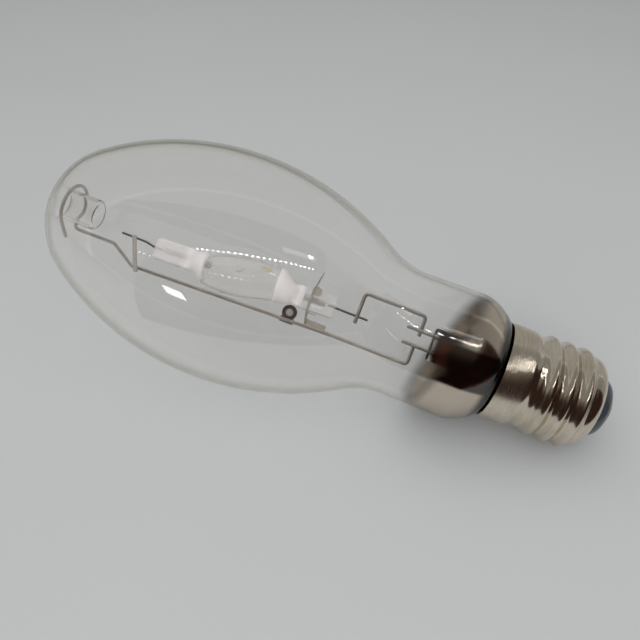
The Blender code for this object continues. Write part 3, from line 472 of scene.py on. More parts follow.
def make_metal(name, bright, dull, roughness, size, bare=1.0):
    """A metal whose colour and polish wander between bright and dull; less bare when oxidised."""
    finish, node = new_finish(name)
    place = coordinates(node)
    tone, cloud = clouded_tone(node, place, size, 4.0, linear(bright), linear(dull), 0.6)
    polish = node("MapRange", {"Value": cloud, "To Min": roughness * 0.75, "To Max": roughness * 1.3})
    bump = node("Bump", {"Height": cloud, "Strength": 0.3, "Distance": 0.02 * MM})
    metal = node("BsdfPrincipled", {"Metallic": bare, "Roughness": polish, "Base Color": tone,
            "Normal": bump})
    node("OutputMaterial", {"Surface": metal})
    return finish


def make_rolled_nickel():
    """Nickel plate on rolled brass: bright, with fine marks of the rolling round it and warm tarnish.

    The marks are 0.5 mm apart, coarser than real ones, so that they show.  The collar is duller.
    """
    finish, node = new_finish("rolled_nickel_plate")
    where = coordinates(node, LAMP)
    around = node("Mapping", {"Vector": where, "Scale": (1, 1, 16)})
    marks = node("TexNoise", {"Vector": around, "Scale": spaced(7.692), "Detail": 5.0, "Roughness": 0.65})
    cloud = node("TexNoise", {"Vector": where, "Scale": spaced(14.286), "Detail": 3.0})
    both = node("Math", {0: marks, 1: cloud}, operation="MULTIPLY")
    stain = node("MapRange", {"Value": both, "From Min": 0.15, "From Max": 0.38})
    tone = node("Mix", {"Factor": stain, "A": linear("#E2D8C8"), "B": linear("#C8BCA9")}, **TONE)
    polish = node("MapRange", {"Value": marks, "From Min": 0.3, "From Max": 0.7, "To Min": 0.13,
            "To Max": 0.20})
    axes = node("SeparateXYZ", {"Vector": where})
    collar = node("MapRange", {"Value": axes.outputs["Z"], "From Min": -10.0 * MM, "From Max": -8.5 * MM,
            "To Max": 0.12})
    handled = node("Math", {0: polish, 1: collar}, operation="ADD")
    bump = node("Bump", {"Height": marks, "Strength": 0.25, "Distance": 0.008 * MM})
    plate = node("BsdfPrincipled", {"Metallic": 1.0, "Roughness": handled, "Base Color": tone,
            "Normal": bump})
    node("OutputMaterial", {"Surface": plate})
    return finish


def make_getter_iron():
    """Pressed iron of the getter: bare in the web, burnt dark where the charge has flashed off."""
    finish, node = new_finish("flashed_getter_iron")
    middle = MOUNT @ shift(GETTER_X, 0, GETTER_Z) @ turn_about("X", 90 * DEG)
    axes = node("SeparateXYZ", {"Vector": coordinates(node, middle)})
    flat = node("CombineXYZ", {"X": axes.outputs["X"], "Y": axes.outputs["Y"]})
    reach = node("VectorMath", {0: flat}, operation="LENGTH")
    darkened_zone = node("MapRange", {"Value": reach, "From Min": 1.1 * MM, "From Max": 1.7 * MM}, **SOFT)
    bare = clouded_tone(node, flat, 1.4286, 3.0, linear("#DAD3CF"), linear("#A39A96"))[0]
    tone = node("Mix", {"Factor": darkened_zone, "A": bare, "B": linear("#6B5F5D")}, **TONE)
    iron = node("BsdfPrincipled", {"Metallic": 0.6, "Roughness": 0.42, "Base Color": tone})
    node("OutputMaterial", {"Surface": iron})
    return finish


def make_salt():
    """Halide salts frozen on the quartz: a thin amber crust that much light still passes."""
    finish, node = new_finish("halide_salt_crust")
    place = coordinates(node)
    tone = clouded_tone(node, place, 0.7143, 2.0, linear("#DACFAE"), linear("#BFA976"))[0]
    crust = node("BsdfPrincipled", {"Base Color": tone, "Roughness": 0.6})
    clear = node("BsdfTransparent", {"Color": linear("#FBF7EC")})
    node("OutputMaterial", {"Surface": node("MixShader", {0: 0.7, 1: crust, 2: clear})})
    return finish


def make_plain(name, first, second, roughness, size, coat=0.0):
    """A solid that is no metal, with a slight drift in its colour."""
    finish, node = new_finish(name)
    place = coordinates(node)
    tone, cloud = clouded_tone(node, place, size, 4.0, linear(first), linear(second))
    bump = node("Bump", {"Height": cloud, "Strength": 0.3, "Distance": 0.05 * MM})
    solid = node("BsdfPrincipled", {"Base Color": tone, "Roughness": roughness, "Coat Weight": coat,
            "Normal": bump})
    node("OutputMaterial", {"Surface": solid})
    return finish


def make_finishes():
    """Every finish of the lamp; the clouds' sizes are in millimetres, as coarse as they need to show."""
    return {
        "bulb_glass": make_clear_glass(),
        "mirror": make_mirror_neck(),
        "stem_glass": make_press_glass(),
        "quartz": make_quartz(),
        "nickel_plated_brass": make_rolled_nickel(),
        # satin from the drawing die, greyed by the heat of the lamp
        "nickel_wire": make_metal("drawn_nickel_wire", "#DAD5CC", "#A8A299", 0.33, 2.5, 0.9),
        # cleaner, softer shine of a wire further from the arc
        "bright_wire": make_metal("bright_nickel_wire", "#E4E1DB", "#C6C2BB", 0.45, 2.5, 0.85),
        # dark grey, dull where the drawing has left its skin
        "molybdenum": make_metal("drawn_molybdenum", "#7C7A78", "#5C5A58", 0.4, 2.0, 0.8),
        # pale, with the blurred shine of thin rolled foil in the quartz
        "foil": make_metal("rolled_molybdenum_foil", "#DEDCD8", "#BDBAB5", 0.45, 3.333),
        # light grey and matt, etched by the arc
        "tungsten": make_metal("drawn_tungsten", "#E2E0DC", "#BEBCB8", 0.6, 1.667, 0.7),
        # warm grey sheet with blurred reflections from the rolls
        "strap_steel": make_metal("rolled_strap_steel", "#DDD7CC", "#B4AEA2", 0.42, 3.846, 0.75),
        "getter_iron": make_getter_iron(),
        # yellow brass, fairly bright from the stamping die
        "contact_brass": make_metal("stamped_brass", "#C9AE74", "#AC9159", 0.3, 4.0),
        # pale grey, smooth where the tin has flowed
        "solder": make_metal("tin_solder", "#C4C4C2", "#A3A3A0", 0.35, 3.333),
        # dense blue-black glass, poured: even and glossy
        "black_glass": make_plain("black_cap_glass", "#3E454C", "#2C3238", 0.16, 11.11, coat=0.5),
        # dark baked resin with marble flour: matt, nearly black
        "cement": make_plain("dark_basing_cement", "#1A1918", "#0E0E0E", 0.85, 2.0),
        "halide_salt": make_salt(),
    }


# outer bulb

def bulb_profile(sizes):
    """Air side of the bulb from the bottom of the dimple over the crown and belly to the seal."""
    belly_r, belly_z, top_z, crown_r = sizes.belly_r, 108.3 * MM, 183.7 * MM, 31.8 * MM
    neck_r, waist_r, waist_z, sweep_r = mm(25.2, 24.7, 36.3, 30.0)
    seal_r, shoulder_z, power = 16.9 * MM, 13.0 * MM, 1.5
    bore_r, depth, lip_r, corner_r = mm(5.2, 16.7, 2.5, 0.8)
    crown_z = top_z - crown_r
    reach = top_z - belly_z
    side_r = (reach ** 2 + belly_r ** 2 - 2 * reach * crown_r) / (2 * (belly_r - crown_r))
    drop = belly_r - waist_r
    run = belly_z - waist_z
    belly_arc_r = (run ** 2 + drop ** 2) / (2 * drop) - sweep_r
    lip_at = bore_r + lip_r
    lip_z = crown_z + sqrt((crown_r - lip_r) ** 2 - lip_at ** 2)
    lip_turn = atan2(lip_z - crown_z, lip_at)
    side_turn = atan2(crown_z - belly_z, -(belly_r - side_r))
    floor_z = top_z - depth
    corner = (bore_r - corner_r, floor_z + corner_r)
    points = [(0.0, floor_z)] + [(corner[0] * t, floor_z) for t in (0.35, 0.7, 1.0)]
    points += arc(corner, corner_r, -pi / 2, 0.0, 5)
    points += [(bore_r, corner[1] + (lip_z - corner[1]) * t) for t in (0.25, 0.5, 0.75, 1.0)]
    points += arc((lip_at, lip_z), lip_r, pi, lip_turn, 7)
    points += arc((0.0, crown_z), crown_r, lip_turn, side_turn, 14)
    points += arc((belly_r - side_r, belly_z), side_r, side_turn, 0.0, 14)
    sweep_turn = atan2(run, waist_r + sweep_r - belly_r + belly_arc_r)
    points += arc((belly_r - belly_arc_r, belly_z), belly_arc_r, 0.0, -sweep_turn, 18)
    points += arc((waist_r + sweep_r, waist_z), sweep_r, pi - sweep_turn, pi, 10)
    rows = 14
    for i in range(rows + 1):
        z = shoulder_z * (1 - i / rows) ** 1.3
        swell = (1 - (1 - z / shoulder_z) ** power) ** (1 / power)
        points.append((seal_r + (neck_r - seal_r) * swell, z))
    points += [(seal_r, -4 * MM), (seal_r, -8 * MM)]
    return points


def build_outer_bulb(sizes, finishes):
    """Bulb turned from its air side and given its wall, clear outside and filmed inside."""
    bulb = turned("outer_bulb_glass", bulb_profile(sizes), 160)
    face_out(bulb, 60 * MM, 150 * MM)
    bulb.data.materials.append(finishes["bulb_glass"])
    bulb.data.materials.append(finishes["mirror"])
    thicken(bulb, sizes.glass_wall, inner_slot=1)
    settle(bulb, LAMP, finishes, "bulb_glass", "outer_bulb", smooth=60)


# screw cap

THREAD_START = 12.5 * MM
THREAD_END = 33.0 * MM
THREAD_ROOT_R = 17.8 * MM
THREAD_CREST_R = 19.55 * MM
SHELL_WALL = 0.35 * MM
SHELL_END_Z = 38.0 * MM
SHELL_END_R = 12.2 * MM
CONTACT_BORE_R = 0.7 * MM


def ease(share):
    share = max(0.0, min(1.0, share))
    return share * share * (3 - 2 * share)


def thread_share(point, pitch, crest_turn):
    """How far up the rolled thread a point of the shell stands, from root 0 to crest 1."""
    into = (-THREAD_START - point.z) / (3.6 * MM)
    out = (point.z + THREAD_END) / (2.2 * MM)
    phase = 2 * pi * (point.z + THREAD_START) / pitch - atan2(point.y, point.x) + crest_turn
    return ease(min(into, out)) * (1 + cos(phase)) / 2


def build_cap_shell(sizes, finishes):
    """Shell spun from its profile; the thread is displaced by a painted vertex group."""
    collar_r, collar_end = mm(19.0, 9.5)
    fullest_z, bulge = mm(5.3, 0.36)
    points = []
    for i in range(13):
        z = collar_end * i / 12
        points.append((collar_r - bulge * ((z - fullest_z) / fullest_z) ** 2, -z))
    step_r = points[-1][0] - THREAD_ROOT_R
    for i in range(1, 7):
        turn = pi * i / 7
        points.append((THREAD_ROOT_R + step_r * (1 + cos(turn)) / 2,
                -collar_end - (THREAD_START - collar_end) * i / 7))
    rows = 52
    for i in range(rows + 1):
        points.append((THREAD_ROOT_R, -THREAD_START - (THREAD_END - THREAD_START) * i / rows))
    end_r = SHELL_END_Z - THREAD_END
    points += arc((THREAD_ROOT_R - end_r, -THREAD_END), end_r, 0.0, -pi / 2, 10)
    points.append((SHELL_END_R, -SHELL_END_Z))
    shell = turned("cap_shell_thread", points, 168)
    face_out(shell, -30 * MM, -5 * MM)
    group = shell.vertex_groups.new(name="thread")
    for point in shell.data.vertices:
        if -THREAD_END < point.co.z < -THREAD_START:
            share = thread_share(point.co, sizes.thread_pitch, sizes.thread_turn)
            group.add([point.index], share, "REPLACE")
    modify(shell, "DISPLACE", direction="NORMAL", mid_level=0.0, strength=THREAD_CREST_R - THREAD_ROOT_R,
            vertex_group=group.name)
    thicken(shell, SHELL_WALL)
    hole = drill("lead_hole", 0.7 * MM, 17 * MM, 21 * MM, 16)
    hole.matrix_world = (turn_about("Z", MOUNT_ROLL) @ shift(0, 0, SIDE_LEAD_Z)
                         @ turn_about("X", -90 * DEG))
    combine(shell, hole, "DIFFERENCE")
    settle(shell, LAMP, finishes, "nickel_plated_brass", "cap_shell", smooth=50)


def build_cap_end(sizes, finishes):
    """Black glass insulator, stamped contact plate and the solder on it."""
    bore_r = CONTACT_BORE_R
    seat_z, neck_r, face_r, face_z = mm(-37.35, 11.9, 8.6, -42.6)
    brow_z = -38.3 * MM
    points = [(neck_r + 0.8 * MM, seat_z + 3 * MM), (neck_r + 0.8 * MM, seat_z), (neck_r, seat_z),
            (neck_r, brow_z)]
    for i in range(1, 12):
        turn = pi / 2 * i / 12
        points.append((face_r + (neck_r - face_r) * cos(turn),
                brow_z + (face_z - brow_z) * sin(turn)))
    points += [(face_r, face_z), (bore_r, face_z), (bore_r, seat_z + 3 * MM), points[0]]
    block = turned("cap_insulator_glass", points, 96)
    settle(block, LAMP, finishes, "black_glass", "cap_insulator", smooth=35)

    plate_r, top_z, foot_z, edge = mm(7.4, -42.9, -43.7, 0.4)
    points = [(plate_r, top_z), (plate_r, top_z - edge)]
    points += arc((7.0 * MM, top_z - edge), edge, 0.0, -pi / 2, 5)
    points += [(4.4 * MM, foot_z), (bore_r, foot_z), (bore_r, top_z), (plate_r, top_z)]
    plate = turned("contact_plate_brass", points, 80)
    settle(plate, LAMP, finishes, "contact_brass", "contact_plate", smooth=35)

    top_z, end_z, r, foot, edge = -44.0 * MM, -CONTACT_DROP, 3.6 * MM, 0.15 * MM, 0.65 * MM
    points = [(0, top_z), (r, top_z), (r, top_z - foot)]
    points += arc((r - edge, top_z - foot), edge, 0.0, -pi / 2, 6) + [(0, end_z)]
    blob = turned("contact_solder_blob", points, 48)
    settle(blob, LAMP, finishes, "solder", "contact_solder", smooth=60)


def build_side_solder(sizes, finishes):
    """Domed bead of solder over the lead that comes out through the shell."""
    r, t = mm(2.0, 0.9)
    points = [(0, t)] + [(r * sin(a), t * cos(a)) for a in (i * pi / 18 for i in range(1, 10))]
    bead = turned("side_solder_bead", points + [(0, 0)], 32)
    place = MOUNT @ shift(0, 19.3 * MM, SIDE_LEAD_Z) @ turn_about("X", -90 * DEG)
    settle(bead, place, finishes, "solder", "side_solder", smooth=60)


def build_cement(sizes, finishes):
    """Ring of cement between the neck and the shell, with its edges broken."""
    outer, inner, top_z, low_z, edge = mm(17.95, 17.2, -0.8, -8.0, 0.2)
    points = [(outer, top_z - edge), (outer, low_z), (inner, low_z), (inner, top_z - edge),
            (inner + edge, top_z), (outer - edge, top_z), (outer, top_z - edge)]
    ring = turned("basing_cement_ring", points, 96)
    settle(ring, LAMP, finishes, "cement", "basing_cement")


# stem

def pressed(point, tube_r, half_width, half_thickness, rib, share):
    """Flattens a round tube to a pressed seal: wide along X, thin along Y, thicker at its edges."""
    radius = hypot(point.x, point.y)
    if radius == 0:
        return point
    across = copysign(sqrt(abs(point.x) / radius), point.x)
    through = copysign(sqrt(abs(point.y) / radius), point.y)
    size = radius / tube_r
    x = across * half_width * size
    y = through * half_thickness * size * (1 + rib * across * across)
    return Vector((point.x + (x - point.x) * share, point.y + (y - point.y) * share, point.z))


def build_stem(sizes, finishes):
    """Flared tube turned about the axis and pressed flat round the two posts at its top."""
    tube_r, wall, flare_r = mm(6.2, 1.1, 15.6)
    top_z, cavity_z, flare_z, foot_z = mm(25.8, 8.0, 3.0, -8.0)
    edge, hollow_r = mm(1.0, 1.5)
    points = [(0, top_z), (tube_r - edge, top_z)]
    points += arc((tube_r - edge, top_z - edge), edge, pi / 2, 0.0, 5)
    points += [(tube_r, top_z + (flare_z - top_z) * i / 16) for i in range(2, 17)]
    outer = []
    for i in range(1, 13):
        turn = pi / 2 * i / 12
        outer.append((tube_r + (flare_r - tube_r) * (1 - cos(turn)),
                flare_z + (foot_z - flare_z) * sin(turn)))
    inner = [(r - wall, z) for r, z in reversed(outer)]
    points += outer + inner + [(tube_r - wall, flare_z), (tube_r - wall, cavity_z - hollow_r)]
    points += arc((tube_r - wall - hollow_r, cavity_z - hollow_r), hollow_r, 0.0, pi / 2, 4)
    points += [(0, cavity_z)]
    stem = turned("stem_press_glass", points, 96)
    for point in stem.data.vertices:
        share = ease((point.co.z - cavity_z) / (4 * MM))
        point.co = pressed(point.co.copy(), tube_r, 6.6 * MM, 2.4 * MM, 0.0, share)
    for x in (POST_X, -POST_X):
        hole = drill("post_hole", 0.95 * MM, 6 * MM, 28 * MM, 20)
        hole.location.x = x
        combine(stem, hole, "DIFFERENCE")
    settle(stem, MOUNT, finishes, "stem_glass", "stem_glass", smooth=50)

    r, wall, tip_z, top = mm(2.2, 0.7, -17.0, 7.7)
    points = [(r, top), (r, tip_z + r)] + arc((0, tip_z + r), r, 0.0, -pi / 2, 8)
    points += [(0, tip_z + wall)]
    points += arc((0, tip_z + r), r - wall, 0.0, -pi / 2, 8)[-2::-1]
    points += [(r - wall, tip_z + r), (r - wall, top), (r, top)]
    tube = turned("exhaust_tube_glass", points, 40)
    settle(tube, MOUNT, finishes, "stem_glass", "exhaust_tube", smooth=60)


# wires

WIRE_FOOT = Vector(mm(-11.0, 1.63, 31.2))      # where the frame wire leaves its post


def frame_wire_at(z):
    """Centre of the long straight run of the frame wire at a height."""
    knee = Vector((-13.9 * MM, 0.6 * MM, CROWN_END_Z + 7.0 * MM))
    low_z = 62.0 * MM
    point = WIRE_FOOT.lerp(knee, max(0.0, (z - low_z) / (knee.z - low_z)))
    point.z = z
    return point


def tube_point(z):
    """Point on the arc tube's axis, in the frame of the mount."""
    return Vector((ARC_CENTRE_X + z * sin(ARC_LEAN), 0, ARC_CENTRE_Z + z * cos(ARC_LEAN)))


def build_posts(sizes, finishes):
    """The two posts in the press, and the leads from them to the contact and the shell."""
    for name, node, x in (("return_post_wire", "return_post", POST_X),
                          ("frame_post_wire", "frame_post", -POST_X)):
        post = drawn_wire(name, [(x, 0, 17 * MM), (x, 0, 36.5 * MM)], 0.65 * MM)
        round_edges(post, 0.12 * MM)
        settle(post, MOUNT, finishes, "nickel_wire", node)
    foot_z = 16.7 * MM
    to_contact = [(POST_X, 0, foot_z), (POST_X, 0, -18 * MM), (0, 0, -26 * MM), (0, 0, -43.7 * MM)]
    to_shell = [(-POST_X, 0, foot_z), (-POST_X, 0, -3 * MM), (-POST_X / 2, 5 * MM, SIDE_LEAD_Z),
                (0, 10 * MM, SIDE_LEAD_Z), (0, 19 * MM, SIDE_LEAD_Z)]
    for name, node, route in (("contact_lead", "contact_lead_wire", to_contact),
                              ("shell_lead", "shell_lead_wire", to_shell)):
        lead = drawn_wire(name, rounded_route(route), 0.4 * MM, 4)
        settle(lead, MOUNT, finishes, "nickel_wire", node)


def build_frame_wire(sizes, finishes):
    """Wire from its post past the arc tube to the crown, where it hooks round the dimple."""
    hook_r, hook_z, hook_x, tail = mm(9.0, 176.8, -0.3, 8.5)
    steps, start, sweep = 64, 207.0 * DEG, 296.0 * DEG

    def on_hook(turn):
        return Vector((hook_x + hook_r * cos(turn), -hook_r * sin(turn), hook_z))

    crown = Vector(mm(-8.1, 2.6, 157.5))
    midway = crown.lerp(on_hook(start), 0.5)
    route = rounded_route([Vector((-2.4 * MM, WIRE_FOOT.y, WIRE_FOOT.z)), frame_wire_at(WIRE_FOOT.z),
            frame_wire_at(62 * MM), frame_wire_at(CROWN_END_Z + 7 * MM), crown, midway])
    bend = start + sweep * 3 / 16
    route += rounded_route([midway, on_hook(start), on_hook(bend)], 5.0 * MM)[1:]
    route += [on_hook(start + sweep * i / steps) for i in range(13, steps + 1)]
    end = start + sweep
    route.append(route[-1] + Vector((-sin(end), -cos(end), 0)) * tail)
    line = drawn_wire("frame_wire_drawn", route, 0.68 * MM)
    settle(line, MOUNT, finishes, "nickel_wire", "frame_wire")


def build_brackets(sizes, finishes):
    """Crossbar at the crown and the bracket of the return wire."""
    foot_z = CROWN_END_Z + 4.6 * MM
    at_wire = frame_wire_at(foot_z)
    top = Vector((-2.85 * MM, -1.6 * MM, CROWN_END_Z + 9.0 * MM))
    foot = Vector((at_wire.x, at_wire.y - 1.83 * MM, foot_z))
    along = (foot - top).normalized()
    bar = drawn_wire("crown_crossbar_wire", [top - along * 0.9 * MM, foot + along * 1.9 * MM], 0.85 * MM)
    round_edges(bar, 0.12 * MM)
    settle(bar, MOUNT, finishes, "nickel_wire", "crown_crossbar", finish="bright_wire")
    right, near_y, far_y, low_z, high_z = 9.2 * MM, 1.7 * MM, -1.5 * MM, 30.8 * MM, BASE_END_Z - 9 * MM
    corners = [(1.0 * MM, near_y, low_z), (right, near_y, low_z), (right, far_y, high_z),
               (-3.2 * MM, far_y, high_z)]
    wire = drawn_wire("return_wire_bracket", rounded_route(corners), 0.75 * MM)
    settle(wire, MOUNT, finishes, "nickel_wire", "return_wire")


def build_arc_leads(sizes, finishes):
    """Leads that run out of the pinches and bend straight towards the brackets."""
    end_z = ARC_BODY_HALF + PINCH_LENGTH
    for name, node, side, tip_z, x, length in (
            ("crown_lead", "arc_lead_crown", 1, CROWN_END_Z, -2.85 * MM, 14.8 * MM),
            ("base_lead", "arc_lead_base", -1, BASE_END_Z, -0.4 * MM, 13.2 * MM)):
        corners = [tube_point(side * 34.4 * MM), tube_point(side * (end_z + 0.5 * MM))]
        corners += [Vector((x, 0, corners[-1].z + side * 4 * MM)), Vector((x, 0, tip_z + side * length))]
        lead = drawn_wire(name, rounded_route(corners), 0.45 * MM)
        settle(lead, MOUNT, finishes, "molybdenum", node)


# arc tube

def body_r(z):
    """Outer radius of the arc tube's rounded body at a height from its middle."""
    stretch = ARC_BODY_HALF / sqrt(1 - (4.0 / 8.5) ** 2)
    return ARC_BODY_R * sqrt(1 - (z / stretch) ** 2)


def sway(z):
    """How far the hand-worked body stands off the line between its pinches at a height."""
    return -0.105 * z * ease((19.3 * MM - abs(z)) / (5.3 * MM))


def shape_tube(point):
    """Pinches both ends flat and flattens the passage round the foils."""
    radius = hypot(point.x, point.y)
    height = abs(point.z)
    if radius < 0.83 * MM:
        if abs(height - FOIL_Z) < 4.95 * MM:
            point.x *= 2.0
            point.y *= 0.48
        return point
    if height <= ARC_BODY_HALF:
        point.x += sway(point.z) * cos(PINCH_TURN)
        point.y -= sway(point.z) * sin(PINCH_TURN)
        return point
    return pressed(point, 4 * MM, 4.4 * MM, 2.0 * MM, 0.25, ease((height - ARC_BODY_HALF) / (2 * MM)))


def build_arc_tube(sizes, finishes):
    """Quartz body turned in one with its ends, which are then pinched flat."""
    end_z, rows = ARC_BODY_HALF + PINCH_LENGTH, 28
    half = [(3.3 * MM, end_z), (3.7 * MM, end_z - 0.15 * MM), (3.95 * MM, end_z - 0.5 * MM)]
    half += [(4 * MM, end_z - 1 * MM - (PINCH_LENGTH - 1 * MM) * i / 16) for i in range(16)]
    body = [(body_r(z), z) for z in (ARC_BODY_HALF * cos(pi * i / rows) for i in range(rows + 1))]
    outer = half + body + [(r, -z) for r, z in reversed(half)]
    hollow = ARC_BODY_HALF - ARC_WALL * 2
    near, far, step, bore = mm(24.2, 33.8, 0.5, 0.75)
    inner = [(bore, -z) for z in (end_z, far + step, far, near, near - step, hollow + ARC_WALL)]
    cavity = [(body_r(z) - ARC_WALL, z) for z in (-hollow * cos(pi * i / rows)
            for i in range(rows + 1))]
    points = outer + inner + cavity + [(r, -z) for r, z in reversed(inner)] + [outer[0]]
    tube = turned("arc_tube_quartz", points, 72)
    for point in tube.data.vertices:
        point.co = shape_tube(point.co.copy())
    # the nub where the tube was tipped off, melted into the body's side
    nub_r, nub_z, rise, drop = mm(1.5, 1.5, 0.2, -0.7)
    nub = [(0, 1.3 * MM)] + [(nub_r * sin(a), rise + 1.1 * MM * cos(a))
            for a in (i * pi / 16 for i in range(1, 9))]
    nub = turned("tip_off", nub + [(nub_r, drop), (0, drop)], 24)
    aside = sway(nub_z)
    nub.matrix_world = (shift(aside * cos(PINCH_TURN), -aside * sin(PINCH_TURN), 0)
                        @ turn_about("Z", -70 * DEG - PINCH_TURN) @ shift(body_r(nub_z), 0, nub_z)
                        @ turn_about("Y", 90 * DEG))
    combine(tube, nub)
    settle(tube, PINCH, finishes, "quartz", "arc_tube", smooth=50)


def build_electrodes(sizes, finishes):
    """Foils in the pinches, tungsten rods and their wound coils."""
    coil_r, pitch, first_z, turns, steps = 1.0 * MM, 0.8 * MM, 14.3 * MM, 3, 32
    for end, side in (("crown", 1), ("base", -1)):
        foil = box("foil_sheet_" + end, (0, 0, side * FOIL_Z), mm(2.4, 0.12, 9))
        round_edges(foil, 0.05 * MM, 2)
        settle(foil, PINCH, finishes, "molybdenum", "foil_" + end, finish="foil")
        rod = drawn_wire("electrode_rod_" + end, [(0, 0, side * 23.6 * MM), (0, 0, side * 13.5 * MM)],
                0.4 * MM)
        round_edges(rod, 0.1 * MM)
        settle(rod, PINCH, finishes, "tungsten", "electrode_" + end)
        winding = []
        for i in range(turns * steps + 1):
            turn = 2 * pi * i / steps
            winding.append((coil_r * cos(turn), coil_r * sin(turn),
                    side * (first_z + pitch * i / steps)))
        coil = drawn_wire("electrode_winding_" + end, winding, 0.3 * MM, 4)
        settle(coil, PINCH, finishes, "tungsten", "electrode_coil_" + end)


def build_dose(sizes, finishes):
    """Cooled bead of halide salts on the wall of the arc tube."""
    deselect()
    bpy.ops.mesh.primitive_uv_sphere_add(segments=32, ring_count=16, radius=1.5 * MM)
    bead = just_made("halide_bead")
    edit_all()
    bpy.ops.transform.resize(value=(0.2, 1, 1.4))
    edit_done()
    z = -8 * MM
    seat = body_r(z) - ARC_WALL - 0.45 * MM - 0.3 * MM
    place = TUBE @ shift(sway(z), 0, 0) @ turn_about("Z", -40 * DEG) @ shift(seat, 0, z)
    settle(bead, place, finishes, "halide_salt", "halide_dose", smooth=60)


# strap and getter

def strap_bow(x):
    return 1.2 * MM * (1 - (x / (11 * MM)) ** 2)


def build_strap(sizes, finishes):
    """Sheet strap that stands on the frame wire and grips the base pinch in its slot."""
    z0, reach, wide, tip, t = BASE_END_Z + 9 * MM, 11 * MM, 4.6 * MM, 1.2 * MM, 0.4 * MM
    at_wire = frame_wire_at(z0)
    foot_x = at_wire.x + 0.98 * MM
    deselect()
    bpy.ops.mesh.primitive_grid_add(x_subdivisions=40, y_subdivisions=4, size=2)
    strap = just_made("pinch_strap_sheet")
    half = (reach - foot_x) / 2
    edit_all()
    bpy.ops.transform.resize(value=(half, wide, 1))
    bpy.ops.transform.translate(value=(foot_x + half, 0, z0))
    edit_done()
    for point in strap.data.vertices:
        share = ease((abs(point.co.x) / reach - 0.5) * 2)
        point.co.y *= (wide + (tip - wide) * share) / wide
        point.co.z += strap_bow(point.co.x)
    modify(strap, "SOLIDIFY", thickness=t, offset=0)
    slot_x, slot_half = tube_point(z0 - ARC_CENTRE_Z).x, 4.4 * MM
    slot = box("slot", (0, 0, 0), mm(9.4, 5.6, 8))
    slot.matrix_world = shift(slot_x, 0, z0) @ turn_about("Y", ARC_LEAN) @ turn_about("Z", PINCH_TURN)
    combine(strap, slot, "DIFFERENCE")
    combine(strap, box("lug", (foot_x + 1.05 * MM, at_wire.y, z0 + t - 4.3 * MM),
                       (2.1 * MM, t, 8.6 * MM)))
    ear_x = slot_x + slot_half - 0.57 * MM
    deselect()
    ear_at = (ear_x, -3.2 * MM, z0 + strap_bow(ear_x) - 1.52 * MM)
    bpy.ops.mesh.primitive_cylinder_add(vertices=40, radius=1.9 * MM, depth=t, location=ear_at,
            rotation=(90 * DEG, 0, 0))
    combine(strap, bpy.context.object)
    tongue_x = slot_x - slot_half - 0.7 * MM
    combine(strap, box("tongue", (tongue_x, 0, z0 + strap_bow(tongue_x) - 1.71 * MM),
                       (t, 1.9 * MM, 3.8 * MM)))
    settle(strap, MOUNT, finishes, "strap_steel", "pinch_strap", smooth=30)


def build_getter(sizes, finishes):
    """Pressed channel ring of the flashed getter on its tab."""
    at_wire = frame_wire_at(GETTER_Z)
    front_y = at_wire.y + 0.98 * MM
    out_r, in_r, wall, depth = mm(3.0, 1.4, 0.3, 1.28)
    web, edge = mm(0.5, 0.3)
    points = [(0, web + wall), (in_r, web + wall), (in_r, depth), (in_r + wall, depth),
              (in_r + wall, wall), (out_r - wall, wall), (out_r - wall, depth), (out_r, depth),
              (out_r, edge)]
    points += arc((out_r - edge, edge), edge, 0, -pi / 2, 4)
    points += [(in_r + 0.1 * MM, 0), (in_r, 0.1 * MM), (in_r, web), (0, web)]
    ring = turned("getter_channel", points, 64)
    ring.matrix_world = shift(GETTER_X, front_y + depth, GETTER_Z) @ turn_about("X", 90 * DEG)
    pick(ring)
    apply_place()
    foot_x, top_x = at_wire.x - 1.28 * MM, GETTER_X - 2.2 * MM
    combine(ring, box("tab", ((top_x + foot_x) / 2, front_y + 0.15 * MM, GETTER_Z),
                      (top_x - foot_x, 0.3 * MM, 5.6 * MM)))
    settle(ring, MOUNT, finishes, "getter_iron", "getter_ring", smooth=35)


# studio, in metres

CAMERA_AT = mm(50.08, -157.59, 212.79)
CAMERA_PITCH = 48.15 * DEG
CAMERA_HEADING = 18.291 * DEG
CAMERA_LENS = 34.65
STRIP_START = Vector((-0.25, -0.69, 1.02))
STRIP_END = Vector((0.87, -0.19, 1.02))


def lay_floor(colour):
    """Matt pale laminate, with a drift too faint to read as a pattern."""
    deselect()
    bpy.ops.mesh.primitive_plane_add(size=6)
    floor = just_made("studio_floor")
    finish, node = new_finish("matt_pale_laminate")
    place = coordinates(node)
    pale, dark = tuple(colour) + (1.0,), tuple(c * 0.97 for c in colour) + (1.0,)
    tone = clouded_tone(node, place, 111.1, 3.0, pale, dark)[0]
    laminate = node("BsdfPrincipled", {"Base Color": tone, "Roughness": 0.75, "Specular IOR Level": 0.25})
    node("OutputMaterial", {"Surface": laminate})
    floor.data.materials.append(finish)


